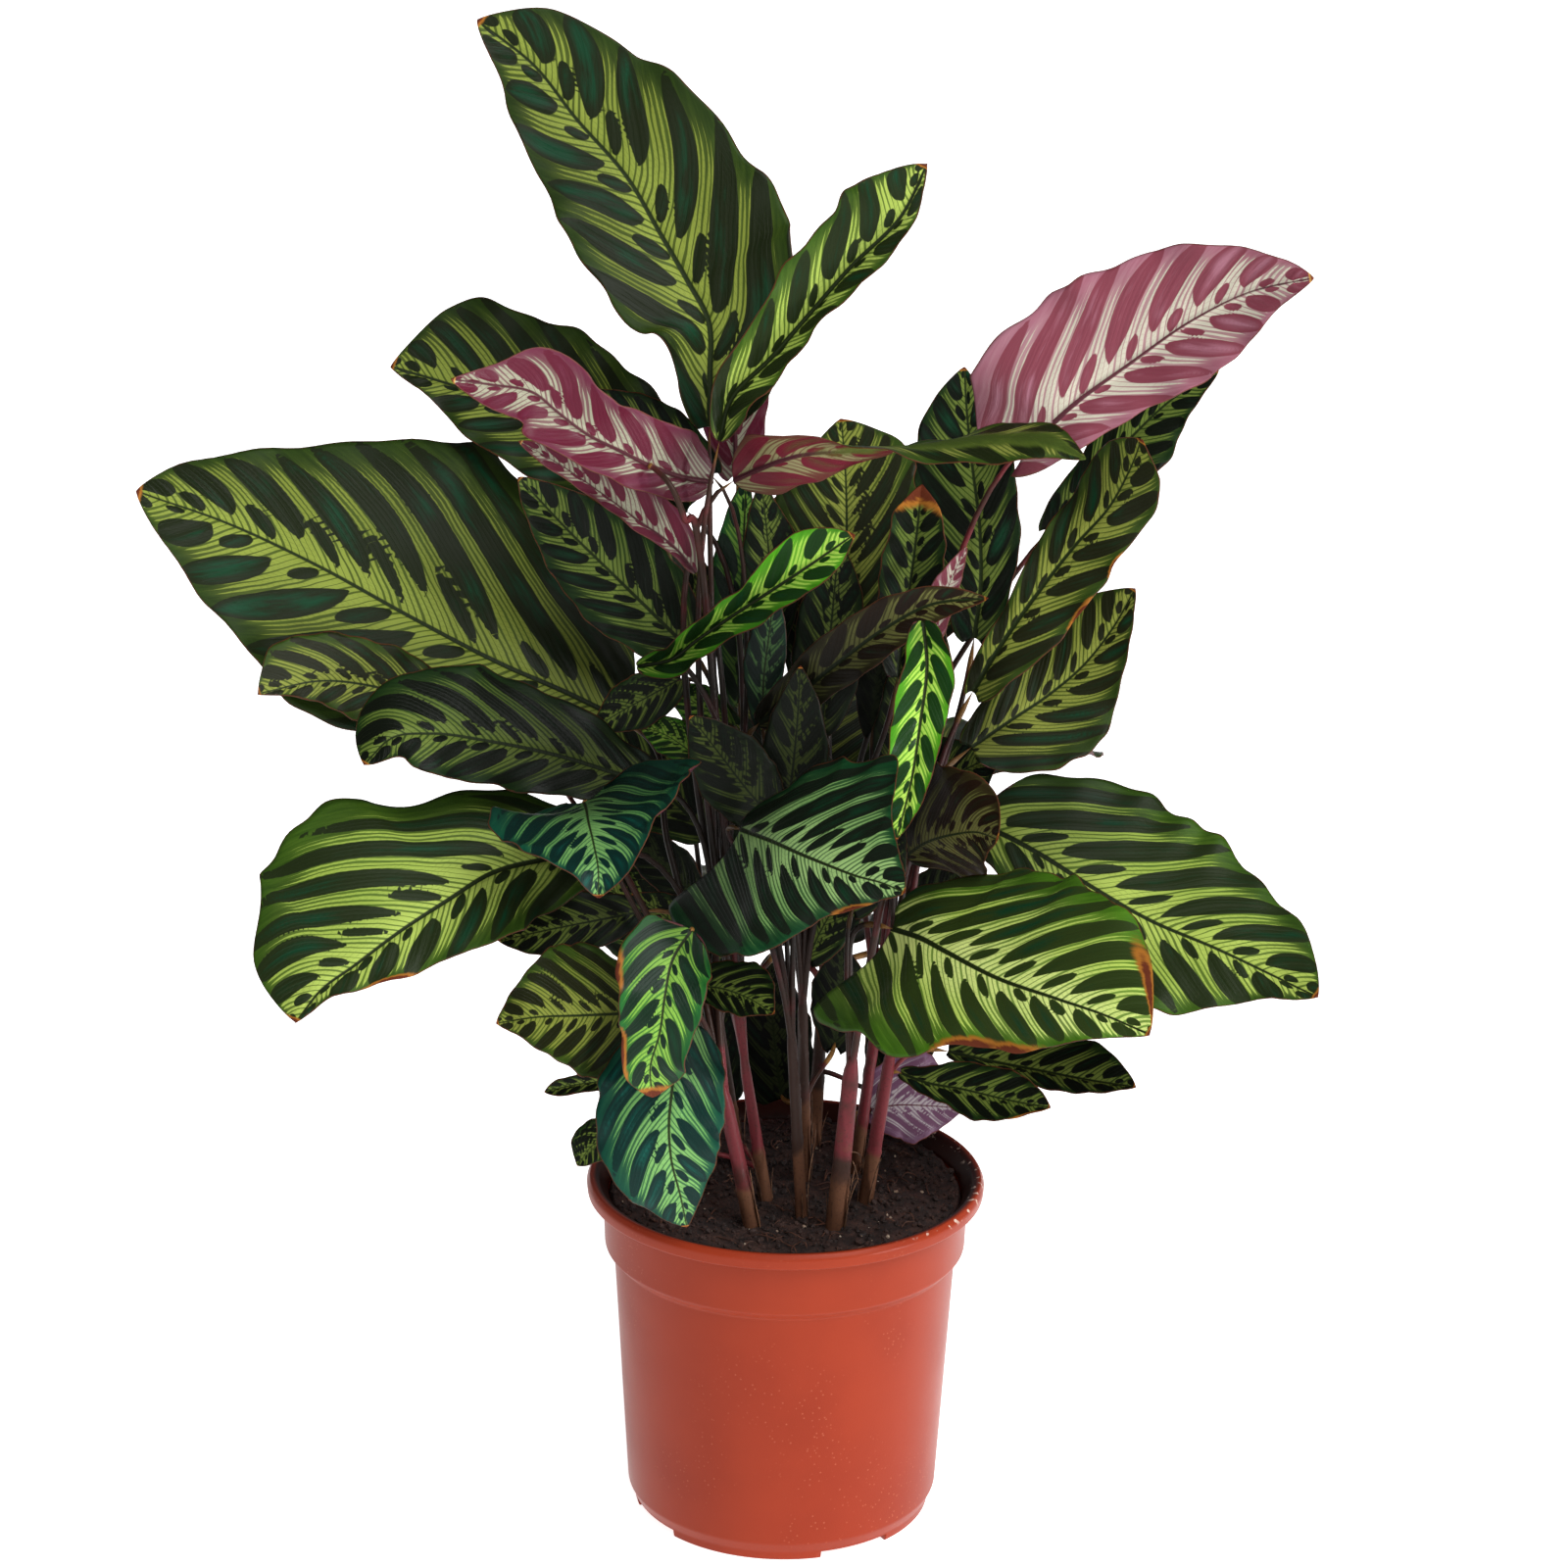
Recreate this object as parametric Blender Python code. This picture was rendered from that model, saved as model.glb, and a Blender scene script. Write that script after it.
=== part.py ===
"""Potted calathea: a terracotta-coloured plastic pot of soil, nine leafy stems and their leaves.

The model is in metres with +Z up, and its origin is the centre of the pot's foot, on the surface
that it stands on. The sizes below are in millimetres, and each mesh is scaled as it is made.
"""

import math

import bmesh
import bpy
import numpy as np
from mathutils import Matrix, Vector, noise

MM = 0.001
SHARP_ANGLE = 35.0
MERGED = 1e-6
ALMOST_FLAT = 1e-6

# Pot: radii are outer ones, heights are above the surface that it stands on
RIM_RADIUS = 85.0
RIM_TOP = 151.0
RIM_WIDTH = 5.0
RIM_STEP = 1.0
RIM_ROUND = 1.6
RIM_DROP = 2.6
LIP_BOTTOM = 144.0
LIP_UNDERCUT = 0.4
COLLAR_RADIUS = 78.0
COLLAR_BOTTOM = 120.5
COLLAR_TAPER = 0.8
CHAMFER = 4.0
BODY_TOP_RADIUS = 73.2
BODY_FOOT_RADIUS = 67.0
BODY_TURN = 5.0
WALL = 2.4
FLOOR_TOP = 6.8
FOOT_HEIGHT = 4.0
FOOT_OUTER = 64.5
FOOT_INNER = 54.0
FOOT_DRAFT = 0.6
PAD_RADIUS = 14.0
FEET = 4
FOOT_TURN = -105.0
RECESS_LENGTH = 24.5
RECESS_WIDTH = 32.0
RECESS_HEIGHT = 3.4
DRAINS = 6
DRAIN_RADIUS = 5.0
DRAIN_CIRCLE = 36.0
DRAIN_SIDES = 10
POT_STEPS = 30

# Soil
SOIL_TOP = 143.5
SOIL_EDGE = 142.0
SOIL_STEPS = 24
SOIL_GAP = 0.6
SURFACE_SLACK = 0.1
SOIL_RINGS = (60.0, 38.0, 18.0, 0.0)
SOIL_RELIEF = 1.3
LUMP_SIZE = 14.0
MOUND_HEIGHT = 2.6
MOUND_PLACE = (30.0, 38.0)
MOUND_SPREAD = 28.0

# Stems: each stem's sheath leans from its foot in the soil to its top, where the leaf stalks part
ROOT_DEPTH = 20.0
HOLE_GAP = 0.5
SHEATH_SIDES = 8
STEMS = {
    "a": {"foot": (-14, -38), "top": (-27, -42, 209.5), "radii": (4.2, 3.2)},
    "b": {"foot": (-8, -13), "top": (-19, -18, 214.5), "radii": (3.0, 2.4)},
    "c": {"foot": (7, -30), "top": (1, -30, 234.5), "radii": (2.6, 2.2)},
    "d": {"foot": (21, -40), "top": (27, -46, 224.5), "radii": (4.0, 3.3)},
    "e": {"foot": (34, -14), "top": (44, -18, 219.5), "radii": (3.2, 2.6)},
    "f": {"foot": (30, 14), "top": (38, 20, 214.5), "radii": (3.0, 2.4)},
    "g": {"foot": (8, 6), "top": (6, 8, 234.5), "radii": (3.4, 2.6)},
    "h": {"foot": (-20, 22), "top": (-32, 38, 219.5), "radii": (3.4, 2.6)},
    "i": {"foot": (12, 40), "top": (16, 60, 224.5), "radii": (3.4, 2.6)},
}

# Leaves: blade thickness, the rows and columns of each size, stalk radii and the stalk's gap to its blade
BLADE = 0.65
GRIDS = {"large": (6, 6), "medium": (5, 4), "small": (4, 4), "tiny": (3, 4)}
STALK_RADIUS = {"large": 1.7, "medium": 1.7, "small": 1.3, "tiny": 1.3}
STALK_TIP = 0.6
STALK_SIDES = 5
STALK_GAP = 0.8
STALK_BEHIND = 1.75
ROOTED = 2.5
SINGLE_STEPS = (0.3, 0.62, 0.93, 1.0)
PASSING_STEPS = (0.5, 1.0)
LAST_STEPS = (0.5, 0.9, 1.0)
TANGENT_STEP = 0.004
CROWDED_ENDS = 0.45
STATIONS = np.array([0.1, 0.3, 0.5, 0.7, 0.9])

# Outline of a blade: how round its base and its tip are, and its least width as a share
BASE_CURVE = 2.2
TIP_CURVE = 1.05
TIP_PINCH = 0.25
TIP_WIDTH = 0.012

# Ripples of a blade: their number, what the next leaf has more, their phases, and their growth outward
RIPPLES = 2.0
MORE_RIPPLES = 0.25
LEAF_PHASE = 1.7
HALF_PHASE = 0.9
RIPPLE_GROWTH = 2.2
FULL_RIPPLE_WIDTH = 18.0
LOBE_END = 0.3
LOBE_FADE = 1.5

# Leaves are placed as they are seen from a point in front of the plant and a little above it, and
# their heights are measured from a level inside the foot
VIEWPOINT = np.array([-3.0, -1600.0, 848.5])
VIEW_DISTANCE = 1600.0
LEAF_LEVEL = 4.5

COLOURS = {
    "terracotta": ((0.49, 0.075, 0.035), 0.45),
    "soil": ((0.024, 0.014, 0.009), 0.95),
    "stalk": ((0.13, 0.035, 0.03), 0.5),
    "leaf_green": ((0.11, 0.2, 0.035), 0.42),
    "leaf_purple": ((0.3, 0.085, 0.13), 0.5),
}

LEAVES = {}


def leaf(name, stem, size, midrib, left, right, lift_left=0, lift_right=0, roll=0, cup=(0, 0), face=1,
         ripple=1.2, lobe=4.0, shoulder=0.3, widest=0.45, rise=60, neck=30, via=(), joins=0.0, below=22,
         fused=False, from_above=False, thin=False):
    """Add a leaf. Its midrib is a list of (across, height, depth) from base to tip.

    left and right are the half widths at five stations along the midrib, on the picture's left and
    right hand as the midrib is followed. lift turns a half toward the viewer in degrees, roll turns
    the whole blade, and cup curls it in toward its edge: at the base, the middle and the tip where
    three values are given. face is 1 where the green upper side is seen, and -1 for the underside.
    lobe sweeps the base back, shoulder is the base's width and widest the place of the full width.
    The stalk leaves the sheath a distance below its top, rises along it, passes via some points and
    bends into the midrib over its neck, at the share of the midrib where it joins.
    """
    roll = triple(roll)
    LEAVES[name] = {
        "stem": stem, "size": size, "midrib": midrib, "widths": (right, left), "roll": roll,
        "lifts": ([p - q for p, q in zip(triple(lift_right), roll)],
                  [p + q for p, q in zip(triple(lift_left), roll)]),
        "cups": pair(cup)[::-1], "face": face, "ripple": ripple, "lobes": pair(lobe)[::-1],
        "shoulders": pair(shoulder)[::-1], "widest": widest, "rise": rise, "neck": neck, "via": via,
        "joins": joins, "below": below, "fused": fused, "from_above": from_above, "thin": thin,
        "order": len(LEAVES),
    }


def pair(value):
    return (value, value) if np.isscalar(value) else value


def triple(value):
    return (value, value, value) if np.isscalar(value) else value


leaf("top_large", "b", "large",
     [(-35, 472, 8), (-35, 492, 14), (-36, 516, 22), (-44, 531, 28), (-55, 550, 35), (-68, 572, 42),
      (-89, 596, 50), (-104, 615, 54), (-127, 633, 56)],
     left=(15, 31, 34, 26, 12), right=(26, 45, 44, 36, 20), lift_left=(22, 10, 5), lift_right=(22, 10, 5),
     roll=10, rise=90, neck=70, lobe=3)
leaf("top_narrow", "b", "medium",
     [(-31, 466, -12), (-27, 482, -11), (-10, 501, -11), (5, 519, -13), (20, 537, -16), (40, 558, -26),
      (50, 579, -38)],
     left=(9, 18, 22, 22, 20), right=(12, 12, 11, 10, 4), lift_left=(35, 30, 5),
     lift_right=(45, 55, 10), rise=100, neck=80, lobe=0, shoulder=0.1)
leaf("upper_left", "b", "large",
     [(-44, 437, 38), (-62, 447, 46), (-84, 461, 56), (-108, 474, 64), (-131, 485, 70), (-163, 495, 74)],
     left=(12, 19, 21, 18, 6), right=(20, 34, 39, 37, 26), lift_left=10, lift_right=10, roll=15, rise=90,
     neck=50)
leaf("purple_front", "b", "medium",
     [(-34, 449, 0), (-46, 451, -7), (-60, 456, -14), (-70, 461, -19), (-84, 468, -25),
      (-96, 477, -32), (-106, 485, -38), (-123, 488, -46), (-139, 490, -56)],
     left=(10, 12, 14, 15, 8), right=(18, 19, 18, 20, 6), lift_left=(0, 10, 0), lift_right=(0, 12, 0),
     cup=(20, 10), face=-1, rise=40, neck=3, joins=0.24,
     via=[(-37, 408, -22), (-45, 434, -25), (-51, 448, -23)], lobe=0)
leaf("purple_narrow", "b", "medium",
     [(-40, 411, -8), (-48, 421, -5), (-64, 433, -2), (-80, 445, -3), (-96, 456, -6), (-112, 465, -12)],
     left=(3, 4, 4, 4, 3), right=(9, 15, 14, 10, 5), lift_left=20, lift_right=10, face=-1, rise=90,
     neck=30, roll=-10, lobe=0)
leaf("upper_green", "b", "small", [(-34, 452, 22), (-48, 463, 27), (-66, 474, 31), (-88, 485, 34)],
     left=(8, 12, 13, 10, 5), right=(8, 12, 13, 10, 5), rise=100, neck=40)
leaf("horizontal", "b", "medium",
     [(-25, 450, -2), (-15, 455, -4), (0, 461, -8), (23, 464, -12), (54, 467, -16), (82, 470, -22),
      (102, 469, -30), (117, 461, -38)],
     left=(17, 14, 15, 16, 10), right=(14, 14, 15, 16, 9), lift_left=(10, 105, 150),
     lift_right=(10, -75, -120), cup=(10, -20), face=-1, rise=110, neck=50, lobe=0, shoulder=0.06)
leaf("pink_large", "f", "large",
     [(91, 464, 4), (100, 472, 6), (110, 482, 6), (134, 501, 5), (157, 518, 0), (180, 530, -8),
      (205, 536, -20)],
     left=(37, 42, 38, 28, 12), right=(13, 18, 22, 21, 8), lift_left=(15, 12, 5),
     lift_right=(20, 20, 20), roll=10, cup=(-12, -10), face=-1, rise=110, neck=50, lobe=(16, 12))
leaf("centre_top", "g", "medium",
     [(20, 392, 20), (21, 410, 22), (21, 432, 24), (20, 455, 28), (18, 476, 32)],
     left=(17, 30, 32, 24, 10), right=(16, 27, 31, 28, 20), lift_left=5, lift_right=5, cup=(-6, -6),
     rise=90, neck=60)
leaf("brown_tip", "g", "medium",
     [(43, 368, 2), (45, 389, 1), (48, 414, -3), (50, 435, -10), (51, 449, -20)],
     left=(8, 13, 14, 13, 9), right=(7, 12, 14, 13, 9), lift_left=25, lift_right=25, lobe=1, rise=80,
     neck=50)
leaf("behind_pink_left", "f", "medium",
     [(74, 385, 34), (76, 406, 36), (75, 431, 40), (71, 459, 46), (68, 484, 52), (67, 498, 56)],
     left=(12, 21, 26, 23, 12), right=(10, 15, 17, 15, 6), lift_left=5, lift_right=5, rise=90, neck=50)
leaf("behind_pink_right", "i", "medium",
     [(103, 431, 42), (116, 448, 48), (133, 468, 54), (152, 487, 60), (169, 498, 62)],
     left=(7, 9, 13, 13, 7), right=(7, 13, 18, 13, 5), lift_left=5, lift_right=5, roll=-10, rise=70,
     neck=60)
leaf("right_twisted", "e", "medium",
     [(74, 362, 8), (82, 377, 10), (99, 404, 14), (114, 425, 16), (127, 441, 14), (134, 455, 8),
      (139, 469, -2)],
     left=(6, 8, 13, 16, 13), right=(12, 19, 19, 16, 12), lift_left=(10, 0, -10),
     lift_right=(10, 0, -10), roll=(-10, -15, -25), rise=90, neck=50)
leaf("right_lower", "e", "medium",
     [(74, 338, 22), (90, 350, 30), (105, 361, 38), (119, 374, 44), (131, 391, 47), (139, 407, 46)],
     left=(10, 18, 21, 21, 12), right=(19, 30, 26, 14, 5), lift_left=5, lift_right=5, roll=-15, rise=70,
     neck=60)
leaf("large_right", "e", "large",
     [(79, 304, 4), (87, 301, 0), (104, 292, -8), (126, 278, -18), (150, 264, -28), (180, 251, -40),
      (203, 240, -50), (223, 230, -62)],
     left=(32, 46, 47, 38, 20), right=(14, 27, 35, 30, 9), lift_left=(5, 0, -8), lift_right=(5, 5, 0),
     roll=-22, cup=(-10, -8), rise=70, neck=50)
leaf("front_right", "d", "large",
     [(43, 258, -58), (55, 254, -74), (66, 248, -90), (89, 236, -118), (112, 228, -140),
      (135, 220, -156), (153, 212, -166)],
     left=(26, 48, 52, 50, 30), right=(48, 48, 31, 23, 8), lift_left=(0, 0, -10), lift_right=(0, 0, -5),
     roll=-8, cup=(-14, -12), rise=60, neck=50, lobe=(8, 46), shoulder=(0.3, 0.8))
leaf("bottom_right", "e", "small",
     [(68, 203, 14), (86, 199, 10), (107, 195, 2), (128, 191, -8), (148, 188, -20)],
     left=(8, 13, 16, 16, 9), right=(5, 8, 9, 8, 4), lift_left=10, lift_right=25, roll=-15, rise=20,
     neck=30, below=50, lobe=1)
leaf("bottom_right_low", "e", "small",
     [(48, 193, -4), (58, 189, -9), (74, 186, -16), (95, 181, -26), (112, 178, -38)],
     left=(5, 10, 12, 12, 7), right=(4, 8, 12, 11, 4), lift_left=15, lift_right=15, roll=-15, rise=10,
     neck=15, below=50, lobe=1)
leaf("low_purple", "f", "small", [(36, 176, 24), (46, 178, 25), (60, 178, 27), (75, 177, 30)],
     left=(15, 22, 24, 18, 8), right=(10, 15, 16, 11, 5), face=-1, rise=15, neck=15, below=60)
leaf("left_large", "a", "large",
     [(-72, 349, 18), (-92, 359, 18), (-119, 371, 16), (-155, 390, 11), (-196, 413, 4),
      (-232, 430, -6), (-267, 442, -18)],
     left=(25, 45, 54, 44, 20), right=(48, 70, 78, 47, 22), lift_left=(8, 4, -4), lift_right=(4, 0, -8),
     roll=22, cup=(-6, -12), rise=40, neck=33, via=[(-50, 290, -20)])
leaf("left_small", "a", "small",
     [(-138, 350, -14), (-153, 355, -18), (-173, 361, -24), (-193, 363, -32), (-220, 357, -44)],
     left=(11, 15, 15, 10, 3), right=(13, 17, 19, 20, 15), lift_left=5, lift_right=0, roll=15, rise=30,
     neck=20, via=[(-66, 268, -30), (-104, 330, -6)])
leaf("left_dark", "a", "medium",
     [(-56, 320, -22), (-70, 324, -27), (-96, 332, -36), (-125, 338, -47), (-149, 341, -57),
      (-165, 339, -65), (-177, 327, -74)],
     left=(12, 17, 19, 19, 10), right=(14, 23, 31, 32, 19), lift_left=(12, 10, 5),
     lift_right=(0, -5, -20), roll=15, cup=(0, -15), rise=70, neck=40)
leaf("left_front", "a", "large",
     [(-84, 291, -40), (-101, 287, -50), (-125, 280, -64), (-143, 268, -76), (-163, 254, -90),
      (-183, 238, -104), (-197, 227, -115), (-208, 212, -128)],
     left=(18, 28, 25, 16, 5), right=(26, 40, 61, 63, 32), lift_left=(12, 10, 5), lift_right=(0, 0, -8),
     roll=15, cup=(0, -12), rise=50, neck=60, lobe=6)
leaf("left_curled", "a", "large",
     [(-86, 312, -52), (-85, 309, -68), (-84, 303, -86), (-82, 294, -102), (-80, 282, -114),
      (-80, 270, -120)],
     left=(28, 50, 48, 32, 11), right=(18, 38, 40, 30, 10), cup=(35, 25), rise=60, neck=25, lobe=4)
leaf("left_behind", "a", "small", [(-62, 264, -22), (-80, 260, -26), (-98, 256, -30), (-122, 250, -34)],
     left=(7, 11, 12, 11, 5), right=(8, 12, 14, 12, 6), roll=15, rise=40, neck=40)
leaf("low_left", "a", "medium",
     [(-60, 219, -34), (-72, 218, -46), (-88, 217, -62), (-106, 216, -78), (-123, 213, -94)],
     left=(20, 27, 25, 17, 6), right=(20, 29, 31, 23, 8), roll=10, rise=15, neck=25, below=40)
leaf("tiny_left", "b", "tiny", [(-66, 190, -20), (-80, 187, -22), (-92, 185, -24), (-103, 182, -26)],
     left=(3, 4, 4, 4, 3), right=(4, 5, 5, 4, 3), lift_left=20, lift_right=20, rise=10, neck=20, below=60,
     fused=True)
leaf("tiny_low", "b", "tiny", [(-66, 160, -30), (-74, 161, -33), (-82, 158, -36), (-89, 148, -39)],
     left=(5, 8, 9, 8, 4), right=(6, 9, 10, 9, 4), lift_left=5, lift_right=5, rise=10, neck=20, below=60,
     fused=True)
leaf("front_centre", "c", "large",
     [(-21, 301, -46), (-8, 296, -66), (3, 291, -84), (15, 286, -102), (28, 281, -118),
      (39, 278, -130), (48, 274, -140)],
     left=(16, 39, 48, 47, 12), right=(52, 50, 34, 17, 7), lift_left=(5, 0, -10), lift_right=(5, 0, -10),
     cup=(-12, -14), rise=33, neck=27, thin=True, via=[(-13, 270, -42)], lobe=(2, 45),
     shoulder=(0.2, 0.75))
leaf("centre_small", "a", "small", [(-38, 231, -50), (-28, 230, -58), (-17, 226, -66), (-6, 219, -76)],
     left=(8, 12, 14, 14, 6), right=(6, 9, 9, 8, 3), rise=20, neck=18)
leaf("front_vertical", "a", "medium",
     [(-41, 256, -84), (-49, 242, -98), (-52, 226, -108), (-54, 210, -112), (-58, 194, -112),
      (-57, 180, -108)],
     left=(14, 18, 16, 14, 12), right=(19, 22, 19, 15, 8), lift_left=5, lift_right=5, lobe=0, thin=True,
     rise=20, neck=8, shoulder=0.15, via=[(-49, 222, -58)])
leaf("front_low", "a", "medium",
     [(-43, 213, -62), (-47, 198, -74), (-49, 181, -84), (-50, 168, -88), (-49, 152, -90),
      (-45, 135, -88), (-42, 120, -82)],
     left=(18, 23, 23, 18, 6), right=(20, 31, 31, 25, 12), cup=(-8, -8), rise=25, neck=25)
leaf("big_dark", "h", "medium",
     [(-42, 378, 10), (-56, 392, 10), (-74, 410, 9), (-92, 428, 6), (-112, 450, 2)],
     left=(14, 20, 20, 15, 7), right=(14, 22, 22, 17, 8), lift_left=5, lift_right=5, rise=80, neck=40)
leaf("yellow_patch", "h", "tiny", [(-38, 331, 4), (-45, 337, 4), (-53, 342, 3), (-63, 345, 1)],
     left=(5, 7, 8, 7, 3), right=(6, 8, 9, 7, 3), rise=60, neck=20, fused=True)
leaf("inner_left", "h", "tiny", [(-46, 366, 2), (-56, 360, 1), (-68, 353, 0), (-82, 344, -2)],
     left=(7, 10, 11, 9, 4), right=(7, 10, 11, 9, 4), rise=70, neck=30, fused=True)
leaf("inner_yellow", "h", "tiny", [(-24, 346, 8), (-33, 351, 8), (-42, 357, 7), (-51, 364, 6)],
     left=(5, 8, 9, 7, 3), right=(5, 8, 9, 7, 3), rise=70, neck=20, fused=True)
leaf("bright_curl", "c", "medium",
     [(-64, 371, -24), (-50, 374, -27), (-40, 382, -30), (-25, 393, -34), (-12, 402, -38),
      (5, 414, -44), (24, 428, -52)],
     left=(8, 10, 10, 15, 12), right=(10, 12, 12, 11, 7), lift_left=(50, 45, 5), lift_right=(50, 50, 5),
     rise=70, neck=-20, joins=0.12, lobe=0, shoulder=0.15)
leaf("diagonal_dark", "c", "medium",
     [(-14, 347, -16), (0, 358, -20), (20, 375, -26), (38, 389, -33), (56, 399, -41), (79, 402, -52)],
     left=(8, 12, 13, 10, 5), right=(7, 10, 11, 10, 5), lift_left=15, lift_right=20, lobe=0, rise=70,
     neck=30)
leaf("pink_small", "f", "tiny", [(57, 384, -16), (60, 397, -17), (64, 410, -17), (70, 424, -17)],
     left=(5, 7, 7, 5, 2), right=(4, 5, 5, 4, 2), face=-1, lift_left=15, lift_right=15, rise=80, neck=30,
     fused=True)
leaf("hanging_bright", "d", "medium",
     [(53, 392, -52), (55, 372, -66), (53, 350, -76), (50, 325, -80), (44, 297, -78)],
     left=(8, 12, 10, 8, 4), right=(8, 12, 13, 11, 5), lift_left=(15, 15, 0), lift_right=(25, 25, 0), rise=70,
     neck=-25, joins=0.12, lobe=0)
leaf("brown_forward", "e", "small",
     [(48, 290, -20), (56, 296, -36), (68, 300, -56), (78, 301, -74), (86, 298, -90)],
     left=(14, 26, 30, 26, 12), right=(14, 23, 24, 18, 7), lift_left=0, lift_right=-15, cup=(0, -20),
     rise=60, neck=30)
leaf("inner_teal", "g", "tiny", [(-12, 346, -6), (-12, 366, -6), (-10, 385, -7), (-8, 405, -8)],
     left=(5, 8, 9, 7, 3), right=(5, 8, 8, 7, 3), rise=70, neck=30, fused=True)
leaf("inner_tall", "g", "tiny", [(12, 345, 6), (14, 370, 5), (16, 398, 4), (18, 425, 2)],
     left=(9, 14, 15, 12, 6), right=(9, 14, 15, 12, 6), rise=70, neck=30, fused=True)
leaf("inner_dark", "g", "tiny", [(-9, 380, 16), (-9, 402, 16), (-11, 425, 15), (-14, 450, 13)],
     left=(6, 10, 11, 9, 4), right=(7, 12, 13, 10, 4), rise=80, neck=30, fused=True)
leaf("back_left_high", "h", "medium", [(-44, 395, 66), (-62, 412, 92), (-86, 421, 124), (-112, 416, 158)],
     left=(24, 34, 35, 27, 11), right=(22, 30, 30, 24, 10), from_above=True, rise=80, neck=50)
leaf("back_high", "i", "medium", [(16, 400, 58), (18, 428, 80), (20, 448, 110), (20, 452, 146)],
     left=(19, 28, 28, 21, 9), right=(19, 28, 28, 21, 9), from_above=True, rise=90, neck=50)
leaf("back_right_high", "i", "medium", [(44, 380, 64), (54, 405, 92), (64, 425, 126), (70, 434, 160)],
     left=(17, 24, 24, 18, 8), right=(17, 23, 23, 18, 8), from_above=True, rise=80, neck=50)
leaf("back_right_mid", "i", "large", [(42, 322, 72), (68, 336, 104), (98, 343, 142), (128, 336, 180)],
     left=(24, 34, 36, 28, 11), right=(24, 35, 37, 29, 11), from_above=True, rise=60, neck=50)
leaf("back_left_mid", "h", "large", [(-52, 335, 72), (-85, 350, 104), (-120, 360, 142), (-152, 355, 182)],
     left=(24, 34, 37, 28, 11), right=(22, 31, 34, 26, 11), from_above=True, rise=60, neck=50)
leaf("back_low_right", "i", "large", [(42, 250, 74), (66, 261, 104), (96, 260, 140), (126, 246, 174)],
     left=(24, 35, 37, 28, 11), right=(24, 34, 36, 28, 11), from_above=True, rise=30, neck=40)
leaf("back_low_left", "h", "large", [(-30, 262, 78), (-46, 275, 108), (-68, 279, 144), (-94, 268, 176)],
     left=(24, 34, 36, 28, 11), right=(24, 33, 34, 26, 11), from_above=True, rise=30, neck=40)
leaf("back_centre", "i", "large", [(2, 325, 84), (6, 345, 112), (8, 360, 150), (8, 362, 190)],
     left=(26, 40, 43, 34, 13), right=(26, 40, 43, 34, 13), from_above=True, rise=60, neck=50)
leaf("back_centre_low", "i", "large", [(4, 250, 90), (8, 262, 122), (10, 264, 160), (10, 252, 198)],
     left=(26, 38, 40, 31, 12), right=(26, 38, 40, 31, 12), from_above=True, rise=30, neck=40)
leaf("back_tall", "g", "medium", [(-24, 452, 48), (-26, 488, 66), (-32, 516, 88), (-42, 540, 110)],
     left=(10, 14, 15, 11, 5), right=(10, 14, 15, 11, 5), face=-1, rise=110, neck=60)
leaf("inner_back_left", "h", "medium", [(-36, 300, 34), (-54, 318, 40), (-76, 336, 44), (-100, 350, 44)],
     left=(12, 20, 22, 17, 7), right=(12, 20, 22, 17, 7), rise=60, neck=30)
leaf("inner_back_right", "f", "medium", [(38, 292, 32), (52, 312, 36), (68, 326, 40), (86, 336, 40)],
     left=(12, 20, 22, 17, 7), right=(12, 20, 22, 17, 7), rise=60, neck=30)
leaf("inner_centre", "h", "medium", [(-2, 258, 44), (2, 290, 46), (4, 318, 45), (4, 345, 42)],
     left=(18, 26, 27, 20, 9), right=(18, 26, 27, 20, 9), rise=30, neck=30)
leaf("inner_right_up", "f", "tiny", [(44, 330, 30), (48, 356, 34), (52, 380, 36), (56, 402, 36)],
     left=(10, 15, 16, 12, 6), right=(10, 15, 16, 12, 6), rise=60, neck=30, fused=True)
leaf("inner_low_left", "h", "tiny", [(-40, 236, 20), (-54, 254, 26), (-70, 270, 30), (-88, 282, 32)],
     left=(12, 19, 20, 15, 7), right=(12, 19, 20, 15, 7), rise=20, neck=25, fused=True)
leaf("dark_centre", "c", "tiny", [(-6, 304, -36), (-18, 318, -40), (-30, 334, -42), (-42, 350, -42)],
     left=(10, 15, 16, 13, 6), right=(10, 15, 16, 13, 6), rise=30, neck=20, fused=True)
leaf("dark_front", "c", "tiny", [(-2, 300, -26), (0, 322, -29), (2, 346, -30), (3, 372, -29)],
     left=(10, 14, 14, 11, 5), right=(10, 14, 14, 11, 5), rise=30, neck=20, fused=True)
leaf("dark_right", "g", "tiny", [(10, 296, 0), (18, 318, -2), (28, 340, -4), (40, 360, -6)],
     left=(10, 15, 15, 12, 5), right=(10, 15, 15, 12, 5), rise=30, neck=20, fused=True)
leaf("dark_high", "h", "tiny", [(-44, 378, 35), (-42, 392, 35), (-40, 405, 36), (-37, 416, 35)],
     left=(7, 10, 10, 8, 4), right=(7, 10, 10, 8, 4), rise=27, neck=13, via=[(-43, 330, 54)], fused=True)
leaf("dark_middle", "f", "tiny", [(43, 308, 17), (46, 330, 16), (46, 356, 15), (44, 378, 15)],
     left=(9, 13, 13, 10, 5), right=(9, 13, 13, 10, 5), rise=40, neck=20, fused=True)
leaf("dark_low_right", "d", "tiny", [(26, 266, -38), (33, 281, -38), (40, 294, -38), (47, 306, -38)],
     left=(8, 12, 13, 10, 4), right=(8, 12, 13, 10, 4), rise=20, neck=15, fused=True)
leaf("dark_low_left", "b", "tiny", [(-30, 236, -6), (-40, 250, -4), (-52, 262, -2), (-66, 272, 0)],
     left=(8, 12, 13, 10, 4), right=(8, 12, 13, 10, 4), rise=15, neck=15, fused=True)
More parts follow.
